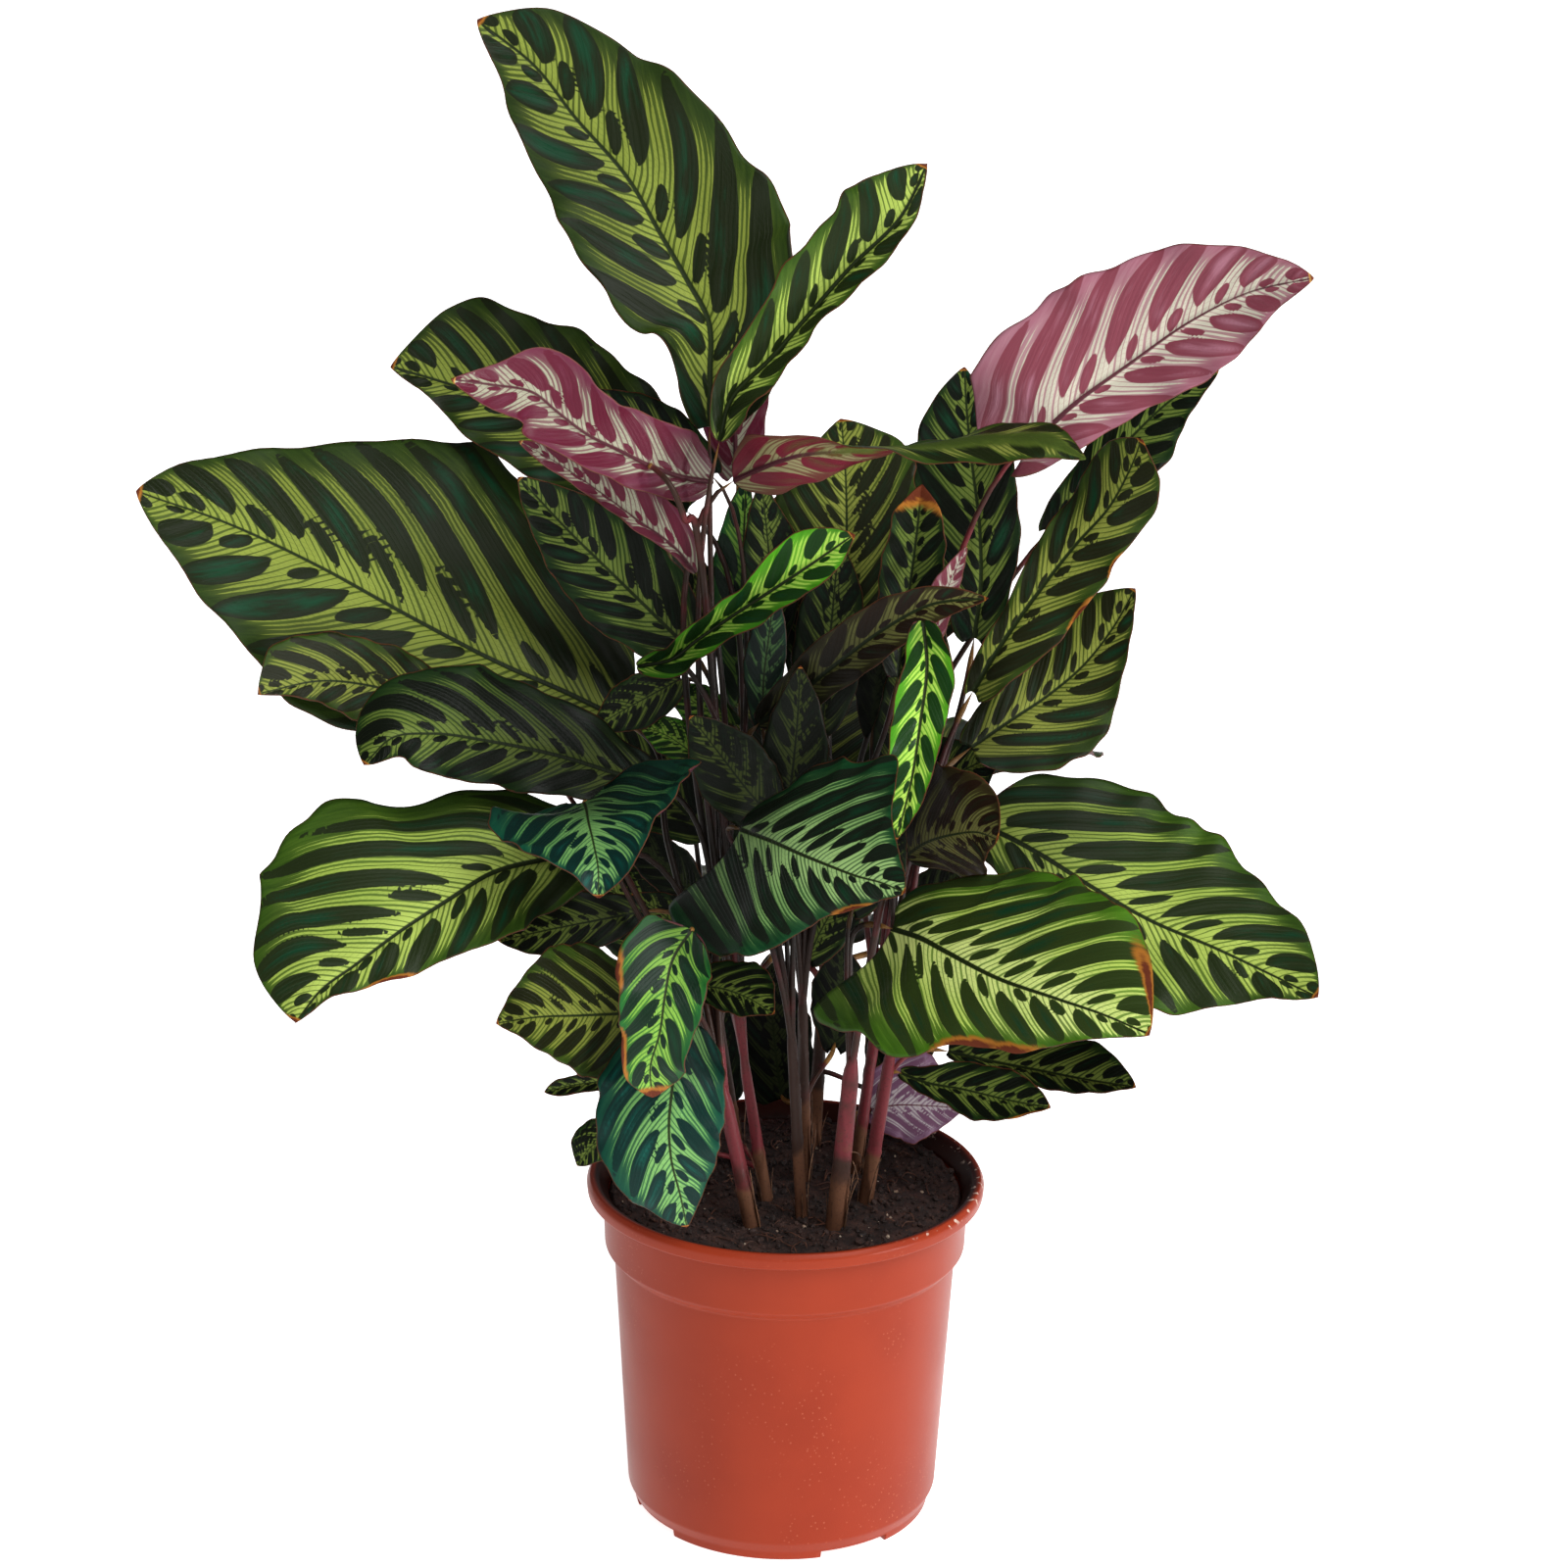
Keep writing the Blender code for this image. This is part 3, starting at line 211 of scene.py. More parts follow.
leaf("purple_front", "b", "medium",
     [(-34, 449, 0), (-46, 451, -7), (-60, 456, -14), (-70, 461, -19), (-84, 468, -25),
      (-96, 477, -32), (-106, 485, -38), (-123, 488, -46), (-139, 490, -56)],
     left=(10, 12, 14, 15, 8), right=(18, 19, 18, 20, 6), lift_left=(0, 10, 0), lift_right=(0, 12, 0),
     cup=(20, 10), face=-1, rise=40, neck=3, joins=0.24,
     via=[(-37, 408, -22), (-45, 434, -25), (-51, 448, -23)], lobe=0)
leaf("purple_narrow", "b", "medium",
     [(-40, 411, -8), (-48, 421, -5), (-64, 433, -2), (-80, 445, -3), (-96, 456, -6), (-112, 465, -12)],
     left=(3, 4, 4, 4, 3), right=(9, 15, 14, 10, 5), lift_left=20, lift_right=10, face=-1, rise=90,
     neck=30, roll=-10, lobe=0)
leaf("upper_green", "b", "small", [(-34, 452, 22), (-48, 463, 27), (-66, 474, 31), (-88, 485, 34)],
     left=(8, 12, 13, 10, 5), rise=100, neck=40)
leaf("horizontal", "b", "medium",
     [(-25, 450, -2), (-15, 455, -4), (0, 461, -8), (23, 464, -12), (54, 467, -16), (82, 470, -22),
      (102, 469, -30), (117, 461, -38)],
     left=(17, 14, 15, 16, 10), right=(14, 14, 15, 16, 9), lift_left=(10, 105, 150),
     lift_right=(10, -75, -120), cup=(10, -20), face=-1, rise=110, neck=50, lobe=0, shoulder=0.06)
leaf("pink_large", "f", "large",
     [(91, 464, 4), (100, 472, 6), (110, 482, 6), (134, 501, 5), (157, 518, 0), (180, 530, -8),
      (205, 536, -20)],
     left=(37, 42, 38, 28, 12), right=(13, 18, 22, 21, 8), lift_left=(15, 12, 5),
     lift_right=(20, 20, 20), roll=10, cup=(-12, -10), face=-1, rise=110, neck=50, lobe=(16, 12))
leaf("centre_top", "g", "medium",
     [(20, 392, 20), (21, 410, 22), (21, 432, 24), (20, 455, 28), (18, 476, 32)],
     left=(17, 30, 32, 24, 10), right=(16, 27, 31, 28, 20), lift=5, cup=(-6, -6),
     rise=90, neck=60)
leaf("brown_tip", "g", "medium",
     [(43, 368, 2), (45, 389, 1), (48, 414, -3), (50, 435, -10), (51, 449, -20)],
     left=(8, 13, 14, 13, 9), right=(7, 12, 14, 13, 9), lift=25, lobe=1, rise=80,
     neck=50)
leaf("behind_pink_left", "f", "medium",
     [(74, 385, 34), (76, 406, 36), (75, 431, 40), (71, 459, 46), (68, 484, 52), (67, 498, 56)],
     left=(12, 21, 26, 23, 12), right=(10, 15, 17, 15, 6), lift=5, rise=90, neck=50)
leaf("behind_pink_right", "i", "medium",
     [(103, 431, 42), (116, 448, 48), (133, 468, 54), (152, 487, 60), (169, 498, 62)],
     left=(7, 9, 13, 13, 7), right=(7, 13, 18, 13, 5), lift=5, roll=-10, rise=70,
     neck=60)
leaf("right_twisted", "e", "medium",
     [(74, 362, 8), (82, 377, 10), (99, 404, 14), (114, 425, 16), (127, 441, 14), (134, 455, 8),
      (139, 469, -2)],
     left=(6, 8, 13, 16, 13), right=(12, 19, 19, 16, 12), lift=(10, 0, -10), roll=(-10, -15, -25),
     rise=90, neck=50)
leaf("right_lower", "e", "medium",
     [(74, 338, 22), (90, 350, 30), (105, 361, 38), (119, 374, 44), (131, 391, 47), (139, 407, 46)],
     left=(10, 18, 21, 21, 12), right=(19, 30, 26, 14, 5), lift=5, roll=-15, rise=70,
     neck=60)
leaf("large_right", "e", "large",
     [(79, 304, 4), (87, 301, 0), (104, 292, -8), (126, 278, -18), (150, 264, -28), (180, 251, -40),
      (203, 240, -50), (223, 230, -62)],
     left=(32, 46, 47, 38, 20), right=(14, 27, 35, 30, 9), lift_left=(5, 0, -8), lift_right=(5, 5, 0),
     roll=-22, cup=(-10, -8), rise=70, neck=50)
leaf("front_right", "d", "large",
     [(43, 258, -58), (55, 254, -74), (66, 248, -90), (89, 236, -118), (112, 228, -140),
      (135, 220, -156), (153, 212, -166)],
     left=(26, 48, 52, 50, 30), right=(48, 48, 31, 23, 8), lift_left=(0, 0, -10), lift_right=(0, 0, -5),
     roll=-8, cup=(-14, -12), rise=60, neck=50, lobe=(8, 46), shoulder=(0.3, 0.8))
leaf("bottom_right", "e", "small",
     [(68, 203, 14), (86, 199, 10), (107, 195, 2), (128, 191, -8), (148, 188, -20)],
     left=(8, 13, 16, 16, 9), right=(5, 8, 9, 8, 4), lift_left=10, lift_right=25, roll=-15, rise=20,
     neck=30, below=50, lobe=1)
leaf("bottom_right_low", "e", "small",
     [(48, 193, -4), (58, 189, -9), (74, 186, -16), (95, 181, -26), (112, 178, -38)],
     left=(5, 10, 12, 12, 7), right=(4, 8, 12, 11, 4), lift=15, roll=-15, rise=10,
     neck=15, below=50, lobe=1)
leaf("low_purple", "f", "small", [(36, 176, 24), (46, 178, 25), (60, 178, 27), (75, 177, 30)],
     left=(15, 22, 24, 18, 8), right=(10, 15, 16, 11, 5), face=-1, rise=15, neck=15, below=60)
leaf("left_large", "a", "large",
     [(-72, 349, 18), (-92, 359, 18), (-119, 371, 16), (-155, 390, 11), (-196, 413, 4),
      (-232, 430, -6), (-267, 442, -18)],
     left=(25, 45, 54, 44, 20), right=(48, 70, 78, 47, 22), lift_left=(8, 4, -4), lift_right=(4, 0, -8),
     roll=22, cup=(-6, -12), rise=40, neck=33, via=[(-50, 290, -20)])
leaf("left_small", "a", "small",
     [(-138, 350, -14), (-153, 355, -18), (-173, 361, -24), (-193, 363, -32), (-220, 357, -44)],
     left=(11, 15, 15, 10, 3), right=(13, 17, 19, 20, 15), lift_left=5, lift_right=0, roll=15, rise=30,
     neck=20, via=[(-66, 268, -30), (-104, 330, -6)])
leaf("left_dark", "a", "medium",
     [(-56, 320, -22), (-70, 324, -27), (-96, 332, -36), (-125, 338, -47), (-149, 341, -57),
      (-165, 339, -65), (-177, 327, -74)],
     left=(12, 17, 19, 19, 10), right=(14, 23, 31, 32, 19), lift_left=(12, 10, 5),
     lift_right=(0, -5, -20), roll=15, cup=(0, -15), rise=70, neck=40)
leaf("left_front", "a", "large",
     [(-84, 291, -40), (-101, 287, -50), (-125, 280, -64), (-143, 268, -76), (-163, 254, -90),
      (-183, 238, -104), (-197, 227, -115), (-208, 212, -128)],
     left=(18, 28, 25, 16, 5), right=(26, 40, 61, 63, 32), lift_left=(12, 10, 5), lift_right=(0, 0, -8),
     roll=15, cup=(0, -12), rise=50, neck=60, lobe=6)
leaf("left_curled", "a", "large",
     [(-86, 312, -52), (-85, 309, -68), (-84, 303, -86), (-82, 294, -102), (-80, 282, -114),
      (-80, 270, -120)],
     left=(28, 50, 48, 32, 11), right=(18, 38, 40, 30, 10), cup=(35, 25), rise=60, neck=25, lobe=4)
leaf("left_behind", "a", "small", [(-62, 264, -22), (-80, 260, -26), (-98, 256, -30), (-122, 250, -34)],
     left=(7, 11, 12, 11, 5), right=(8, 12, 14, 12, 6), roll=15, rise=40, neck=40)
leaf("low_left", "a", "medium",
     [(-60, 219, -34), (-72, 218, -46), (-88, 217, -62), (-106, 216, -78), (-123, 213, -94)],
     left=(20, 27, 25, 17, 6), right=(20, 29, 31, 23, 8), roll=10, rise=15, neck=25, below=40)
leaf("tiny_left", "b", "tiny", [(-66, 190, -20), (-80, 187, -22), (-92, 185, -24), (-103, 182, -26)],
     left=(3, 4, 4, 4, 3), right=(4, 5, 5, 4, 3), lift=20, rise=10, neck=20, below=60)
leaf("tiny_low", "b", "tiny", [(-66, 160, -30), (-74, 161, -33), (-82, 158, -36), (-89, 148, -39)],
     left=(5, 8, 9, 8, 4), right=(6, 9, 10, 9, 4), lift=5, rise=10, neck=20, below=60)
leaf("front_centre", "c", "large",
     [(-21, 301, -46), (-8, 296, -66), (3, 291, -84), (15, 286, -102), (28, 281, -118),
      (39, 278, -130), (48, 274, -140)],
     left=(16, 39, 48, 47, 12), right=(52, 50, 34, 17, 7), lift=(5, 0, -10),
     cup=(-12, -14), rise=33, neck=27, thin=True, via=[(-13, 270, -42)], lobe=(2, 45),
     shoulder=(0.2, 0.75))
leaf("centre_small", "a", "small", [(-38, 231, -50), (-28, 230, -58), (-17, 226, -66), (-6, 219, -76)],
     left=(8, 12, 14, 14, 6), right=(6, 9, 9, 8, 3), rise=20, neck=18)
leaf("front_vertical", "a", "medium",
     [(-41, 256, -84), (-49, 242, -98), (-52, 226, -108), (-54, 210, -112), (-58, 194, -112),
      (-57, 180, -108)],
     left=(14, 18, 16, 14, 12), right=(19, 22, 19, 15, 8), lift=5, lobe=0, thin=True,
     rise=20, neck=8, shoulder=0.15, via=[(-49, 222, -58)])
leaf("front_low", "a", "medium",
     [(-43, 213, -62), (-47, 198, -74), (-49, 181, -84), (-50, 168, -88), (-49, 152, -90),
      (-45, 135, -88), (-42, 120, -82)],
     left=(18, 23, 23, 18, 6), right=(20, 31, 31, 25, 12), cup=(-8, -8), rise=25, neck=25)
leaf("big_dark", "h", "medium",
     [(-42, 378, 10), (-56, 392, 10), (-74, 410, 9), (-92, 428, 6), (-112, 450, 2)],
     left=(14, 20, 20, 15, 7), right=(14, 22, 22, 17, 8), lift=5, rise=80, neck=40)
leaf("yellow_patch", "h", "tiny", [(-38, 331, 4), (-45, 337, 4), (-53, 342, 3), (-63, 345, 1)],
     left=(5, 7, 8, 7, 3), right=(6, 8, 9, 7, 3), rise=60, neck=20)
leaf("inner_left", "h", "tiny", [(-46, 366, 2), (-56, 360, 1), (-68, 353, 0), (-82, 344, -2)],
     left=(7, 10, 11, 9, 4), rise=70, neck=30)
leaf("inner_yellow", "h", "tiny", [(-24, 346, 8), (-33, 351, 8), (-42, 357, 7), (-51, 364, 6)],
     left=(5, 8, 9, 7, 3), rise=70, neck=20)
leaf("bright_curl", "c", "medium",
     [(-64, 371, -24), (-50, 374, -27), (-40, 382, -30), (-25, 393, -34), (-12, 402, -38),
      (5, 414, -44), (24, 428, -52)],
     left=(8, 10, 10, 15, 12), right=(10, 12, 12, 11, 7), lift_left=(50, 45, 5), lift_right=(50, 50, 5),
     rise=70, neck=-20, joins=0.12, lobe=0, shoulder=0.15)
leaf("diagonal_dark", "c", "medium",
     [(-14, 347, -16), (0, 358, -20), (20, 375, -26), (38, 389, -33), (56, 399, -41), (79, 402, -52)],
     left=(8, 12, 13, 10, 5), right=(7, 10, 11, 10, 5), lift_left=15, lift_right=20, lobe=0, rise=70,
     neck=30)
leaf("pink_small", "f", "tiny", [(57, 384, -16), (60, 397, -17), (64, 410, -17), (70, 424, -17)],
     left=(5, 7, 7, 5, 2), right=(4, 5, 5, 4, 2), face=-1, lift=15, rise=80, neck=30)
leaf("hanging_bright", "d", "medium",
     [(53, 392, -52), (55, 372, -66), (53, 350, -76), (50, 325, -80), (44, 297, -78)],
     left=(8, 12, 10, 8, 4), right=(8, 12, 13, 11, 5), lift_left=(15, 15, 0), lift_right=(25, 25, 0), rise=70,
     neck=-25, joins=0.12, lobe=0)
leaf("brown_forward", "e", "small",
     [(48, 290, -20), (56, 296, -36), (68, 300, -56), (78, 301, -74), (86, 298, -90)],
     left=(14, 26, 30, 26, 12), right=(14, 23, 24, 18, 7), lift_left=0, lift_right=-15, cup=(0, -20),
     rise=60, neck=30)
leaf("inner_teal", "g", "tiny", [(-12, 346, -6), (-12, 366, -6), (-10, 385, -7), (-8, 405, -8)],
     left=(5, 8, 9, 7, 3), right=(5, 8, 8, 7, 3), rise=70, neck=30)
leaf("inner_tall", "g", "tiny", [(12, 345, 6), (14, 370, 5), (16, 398, 4), (18, 425, 2)],
     left=(9, 14, 15, 12, 6), rise=70, neck=30)
leaf("inner_dark", "g", "tiny", [(-9, 380, 16), (-9, 402, 16), (-11, 425, 15), (-14, 450, 13)],
     left=(6, 10, 11, 9, 4), right=(7, 12, 13, 10, 4), rise=80, neck=30)
leaf("back_left_high", "h", "medium", [(-44, 395, 66), (-62, 412, 92), (-86, 421, 124), (-112, 416, 158)],
     left=(24, 34, 35, 27, 11), right=(22, 30, 30, 24, 10), from_above=True, rise=80, neck=50)
leaf("back_high", "i", "medium", [(16, 400, 58), (18, 428, 80), (20, 448, 110), (20, 452, 146)],
     left=(19, 28, 28, 21, 9), from_above=True, rise=90, neck=50)
leaf("back_right_high", "i", "medium", [(44, 380, 64), (54, 405, 92), (64, 425, 126), (70, 434, 160)],
     left=(17, 24, 24, 18, 8), right=(17, 23, 23, 18, 8), from_above=True, rise=80, neck=50)
leaf("back_right_mid", "i", "large", [(42, 322, 72), (68, 336, 104), (98, 343, 142), (128, 336, 180)],
     left=(24, 34, 36, 28, 11), right=(24, 35, 37, 29, 11), from_above=True, rise=60, neck=50)
leaf("back_left_mid", "h", "large", [(-52, 335, 72), (-85, 350, 104), (-120, 360, 142), (-152, 355, 182)],
     left=(24, 34, 37, 28, 11), right=(22, 31, 34, 26, 11), from_above=True, rise=60, neck=50)
leaf("back_low_right", "i", "large", [(42, 250, 74), (66, 261, 104), (96, 260, 140), (126, 246, 174)],
     left=(24, 35, 37, 28, 11), right=(24, 34, 36, 28, 11), from_above=True, rise=30, neck=40)
leaf("back_low_left", "h", "large", [(-30, 262, 78), (-46, 275, 108), (-68, 279, 144), (-94, 268, 176)],
     left=(24, 34, 36, 28, 11), right=(24, 33, 34, 26, 11), from_above=True, rise=30, neck=40)
leaf("back_centre", "i", "large", [(2, 325, 84), (6, 345, 112), (8, 360, 150), (8, 362, 190)],
     left=(26, 40, 43, 34, 13), from_above=True, rise=60, neck=50)
leaf("back_centre_low", "i", "large", [(4, 250, 90), (8, 262, 122), (10, 264, 160), (10, 252, 198)],
     left=(26, 38, 40, 31, 12), from_above=True, rise=30, neck=40)
leaf("back_tall", "g", "medium", [(-24, 452, 48), (-26, 488, 66), (-32, 516, 88), (-42, 540, 110)],
     left=(10, 14, 15, 11, 5), face=-1, rise=110, neck=60)
leaf("inner_back_left", "h", "medium", [(-36, 300, 34), (-54, 318, 40), (-76, 336, 44), (-100, 350, 44)],
     left=(12, 20, 22, 17, 7), rise=60, neck=30)
leaf("inner_back_right", "f", "medium", [(38, 292, 32), (52, 312, 36), (68, 326, 40), (86, 336, 40)],
     left=(12, 20, 22, 17, 7), rise=60, neck=30)
leaf("inner_centre", "h", "medium", [(-2, 258, 44), (2, 290, 46), (4, 318, 45), (4, 345, 42)],
     left=(18, 26, 27, 20, 9), rise=30, neck=30)
leaf("inner_right_up", "f", "tiny", [(44, 330, 30), (48, 356, 34), (52, 380, 36), (56, 402, 36)],
     left=(10, 15, 16, 12, 6), rise=60, neck=30)
leaf("inner_low_left", "h", "tiny", [(-40, 236, 20), (-54, 254, 26), (-70, 270, 30), (-88, 282, 32)],
     left=(12, 19, 20, 15, 7), rise=20, neck=25)
# The dark_ leaves fill the crown's middle and foot: partly leaves, partly dark sheets that stand in for the
# shade there
leaf("dark_centre", "c", "tiny", [(-6, 304, -36), (-18, 318, -40), (-30, 334, -42), (-42, 350, -42)],
     left=(10, 15, 16, 13, 6), rise=30, neck=20)
leaf("dark_front", "c", "tiny", [(-2, 300, -26), (0, 322, -29), (2, 346, -30), (3, 372, -29)],
     left=(10, 14, 14, 11, 5), rise=30, neck=20)
leaf("dark_right", "g", "tiny", [(10, 296, 0), (18, 318, -2), (28, 340, -4), (40, 360, -6)],
     left=(10, 15, 15, 12, 5), rise=30, neck=20)
leaf("dark_high", "h", "tiny", [(-44, 378, 35), (-42, 392, 35), (-40, 405, 36), (-37, 416, 35)],
     left=(7, 10, 10, 8, 4), rise=27, neck=13, via=[(-43, 330, 54)])
leaf("dark_middle", "f", "tiny", [(43, 308, 17), (46, 330, 16), (46, 356, 15), (44, 378, 15)],
     left=(9, 13, 13, 10, 5), rise=40, neck=20)
leaf("dark_low_right", "d", "tiny", [(26, 266, -38), (33, 281, -38), (40, 294, -38), (47, 306, -38)],
     left=(8, 12, 13, 10, 4), rise=20, neck=15)
leaf("dark_low_left", "b", "tiny", [(-30, 236, -6), (-40, 250, -4), (-52, 262, -2), (-66, 272, 0)],
     left=(8, 12, 13, 10, 4), rise=15, neck=15)
leaf("dark_low", "g", "tiny", [(8, 244, 10), (14, 258, 13), (22, 272, 16), (32, 284, 18)],
     left=(8, 12, 13, 10, 4), rise=10, neck=15)
leaf("dark_gap", "g", "tiny", [(-22, 356, 31), (-22, 386, 32), (-21, 418, 32), (-20, 452, 31)],
     left=(6, 10, 12, 11, 5), right=(5, 8, 8, 7, 3), rise=60, neck=30)
leaf("dark_left", "h", "tiny", [(-38, 270, 14), (-48, 281, 15), (-60, 291, 16), (-74, 298, 16)],
     left=(6, 10, 10, 8, 4), rise=30, neck=15)
leaf("dark_foot_left", "h", "tiny", [(-30, 178, 48), (-34, 200, 52), (-36, 222, 54), (-36, 246, 54)],
     left=(13, 15, 16, 13, 5), right=(13, 15, 15, 12, 5), shoulder=0.6, rise=8, neck=8, below=62)
leaf("dark_foot_centre", "i", "tiny", [(-2, 180, 66), (-5, 202, 68), (-7, 224, 70), (-8, 246, 70)],
     left=(14, 16, 16, 12, 5), shoulder=0.6, rise=8, neck=8, below=66)
leaf("dark_foot_right", "i", "tiny", [(44, 182, 46), (48, 204, 50), (50, 226, 52), (50, 248, 52)],
     left=(13, 15, 15, 12, 5), right=(12, 14, 15, 12, 5), shoulder=0.6, rise=8, neck=8, below=50)
leaf("dark_foot_middle", "g", "tiny", [(20, 204, 30), (21, 220, 33), (22, 236, 35), (22, 252, 36)],
     left=(7, 11, 12, 10, 4), rise=20, neck=10, below=62)
leaf("dark_slot", "g", "tiny", [(5, 348, 22), (5, 368, 24), (4, 388, 25), (3, 408, 24)],
     left=(4, 7, 8, 6, 3), rise=60, neck=25)
leaf("dark_slot_right", "f", "tiny", [(33, 344, 30), (34, 358, 31), (35, 372, 32), (36, 388, 32)],
     left=(5, 8, 9, 7, 3), rise=50, neck=25)
leaf("dark_right", "f", "tiny", [(50, 262, 14), (58, 271, 14), (67, 280, 13), (78, 288, 12)],
     left=(7, 10, 10, 8, 4), right=(6, 9, 9, 7, 3), rise=30, neck=15)


# Finish of each blade: its tone where it isn't plain, and its scorched places as (along, across, reach)
TONES = {
    "top_narrow": "sunny", "horizontal": "turned", "upper_green": "deep", "centre_top": "olive",
    "brown_tip": "deep", "behind_pink_left": "deep", "behind_pink_right": "deep", "right_twisted": "olive",
    "right_lower": "olive", "large_right": "sunny", "front_right": "bright", "bottom_right": "deep",
    "bottom_right_low": "deep", "left_small": "olive", "left_dark": "deep", "left_front": "sunny",
    "left_curled": "teal", "left_behind": "deep", "low_left": "olive", "front_centre": "mint",
    "centre_small": "deep", "front_vertical": "grass", "front_low": "teal", "big_dark": "deep",
    "bright_curl": "lime", "hanging_bright": "lime", "diagonal_dark": "bronze", "brown_forward": "bronze",
    "yellow_patch": "lime", "inner_yellow": "lime", "inner_teal": "teal", "inner_back_left": "deep",
    "inner_back_right": "deep", "inner_centre": "deep", "purple_front": "wine", "purple_narrow": "wine",
    "back_tall": "wine", "low_purple": "lilac", "dark_gap": "grass", "dark_left": "shade",
    "dark_foot_left": "shade", "dark_foot_centre": "shade", "dark_foot_right": "shade",
    "dark_foot_middle": "shade", "dark_slot": "deep", "dark_slot_right": "shade", "dark_right": "shade",
}
SCORCH = {
    "front_right": [(0.93, 0.85, 0.16), (0.5, -1.0, 0.15), (0.62, -1.0, 0.14)],
    "front_centre": [(0.75, -1.0, 0.14)],
    "front_vertical": [(0.35, -1.0, 0.15), (0.75, -1.0, 0.2), (1.0, None, 0.1)],
    "left_front": [(0.72, 1.0, 0.12)],
    "brown_tip": [(1.0, None, 0.2)],
    "horizontal": [(0.62, 0.0, 0.5), (0.9, 0.0, 0.5)],
    "right_twisted": [(0.4, -1.0, 0.1), (0.6, -1.0, 0.08)],
    "bottom_right_low": [(0.9, -1.0, 0.2)],
}
# Colours of the two faces of each tone, as (field, pale, blotch, margin)
# sunny is a lighter copy of the green, as painted light, and shade a near-black one, as painted shade; teal
# and mint hold the leaves' own green with a painted bluish reflection
TONE_COLOURS = {
    "upper_face": {
        "fresh": [(112, 124, 48), (130, 144, 60), (24, 31, 13), (38, 58, 16)],
        "sunny": [(140, 162, 68), (164, 184, 86), (30, 40, 17), (50, 80, 18)],
        "bright": [(176, 200, 92), (218, 232, 142), (42, 56, 22), (66, 112, 20)],
        "grass": [(96, 144, 50), (128, 172, 68), (12, 36, 20), (24, 92, 36)],
        "deep": [(78, 96, 38), (104, 120, 52), (12, 17, 9), (20, 44, 14)],
        "shade": [(34, 42, 20), (42, 50, 24), (7, 9, 6), (12, 22, 10)],
        "olive": [(108, 118, 46), (130, 138, 60), (28, 31, 14), (44, 66, 18)],
        "mint": [(122, 164, 94), (164, 200, 126), (20, 28, 19), (14, 66, 34)],
        "teal": [(84, 136, 72), (116, 164, 92), (5, 36, 31), (5, 66, 48)],
        "lime": [(126, 178, 56), (170, 204, 86), (20, 50, 14), (66, 140, 20)],
        "bronze": [(88, 92, 46), (116, 116, 64), (34, 22, 14), (50, 44, 22)],
        "turned": [(116, 126, 54), (136, 140, 66), (26, 34, 12), (46, 70, 18)],
    },
    "underside": {
        "mauve": [(168, 165, 148), (184, 180, 162), (112, 52, 64), (146, 96, 110)],
        "wine": [(138, 138, 118), (152, 152, 130), (86, 24, 42), (98, 42, 62)],
        "plum": [(120, 96, 92), (134, 108, 100), (76, 28, 42), (90, 46, 62)],
        "lilac": [(150, 142, 146), (160, 152, 152), (94, 62, 84), (104, 74, 98)],
        "turned": [(128, 124, 84), (140, 134, 96), (104, 30, 44), (92, 60, 44)],
    },
}
# Sheen is a painted highlight in the blotches of the upper face; on the underside the margin colour stands
# there
FACE_COLOURS = {
    "upper_face": {"Sheen": (14, 56, 34), "Midrib": (30, 40, 16), "Edge": (78, 44, 26), "Halo": (152, 96, 34),
                   "Scorched": (92, 42, 24)},
    "underside": {"Midrib": (74, 34, 42), "Edge": (104, 60, 52), "Halo": (190, 140, 70),
                  "Scorched": (110, 56, 40)},
}
OWN_COLOURS = {
    ("upper_face", "teal"): {"Sheen": (10, 92, 78)},
    ("upper_face", "turned"): {"Halo": (70, 86, 30), "Scorched": (60, 76, 26)},
    ("underside", "turned"): {"Halo": (84, 92, 40), "Scorched": (70, 80, 34)},
}
FACE_GLOSS = {"upper_face": 0.08, "underside": 0.12}
TONE_GLOSS = {"grass": 0.15, "teal": 0.12}

# Blades that lie in the shade of others from their base to a share of their length
SHADED = {
    "bright_curl": 0.62, "left_dark": 0.85, "front_centre": 0.4, "left_curled": 0.6, "left_large": 0.3,
    "large_right": 0.45, "upper_left": 0.5, "right_lower": 0.3, "front_vertical": 0.3, "front_low": 0.35,
    "low_left": 0.5, "left_behind": 0.7, "left_small": 0.4, "left_front": 0.45, "purple_front": 0.3,
}


# Forms of the leaves, as in the solids
def world(across, height, depth):
    """The point seen at (across, height) in the upright plane of the pot's axis, slid to its depth."""
    point = np.array([across, 0.0, height + LEAF_LEVEL])
    return VIEWPOINT + (point - VIEWPOINT) * (1 + depth / VIEW_DISTANCE)


def smooth(at, knots, values):
    """A cubic curve through the values at the knots, level beyond the ends."""
    knots, values = np.asarray(knots, float), np.asarray(values, float)
    slope = np.gradient(values, knots)
    at = np.clip(at, knots[0], knots[-1])
    i = np.clip(np.searchsorted(knots, at) - 1, 0, len(knots) - 2)
    span = knots[i + 1] - knots[i]
    t = (at - knots[i]) / span
    start = (2 * t**3 - 3 * t**2 + 1) * values[i] + (t**3 - 2 * t**2 + t) * span * slope[i]
    end = (3 * t**2 - 2 * t**3) * values[i + 1] + (t**3 - t**2) * span * slope[i + 1]
    return start + end


def ease(value, low, high):
    """0 below low and 1 above high, with a soft step between; low may be the greater."""
    t = np.clip((value - low) / (high - low), 0, 1)
    return t * t * (3 - 2 * t)


def midrib_reach(plan):
    points = np.array([world(*p) for p in plan["midrib"]])
    return points, np.r_[0, np.cumsum(np.linalg.norm(np.diff(points, axis=0), axis=1))]


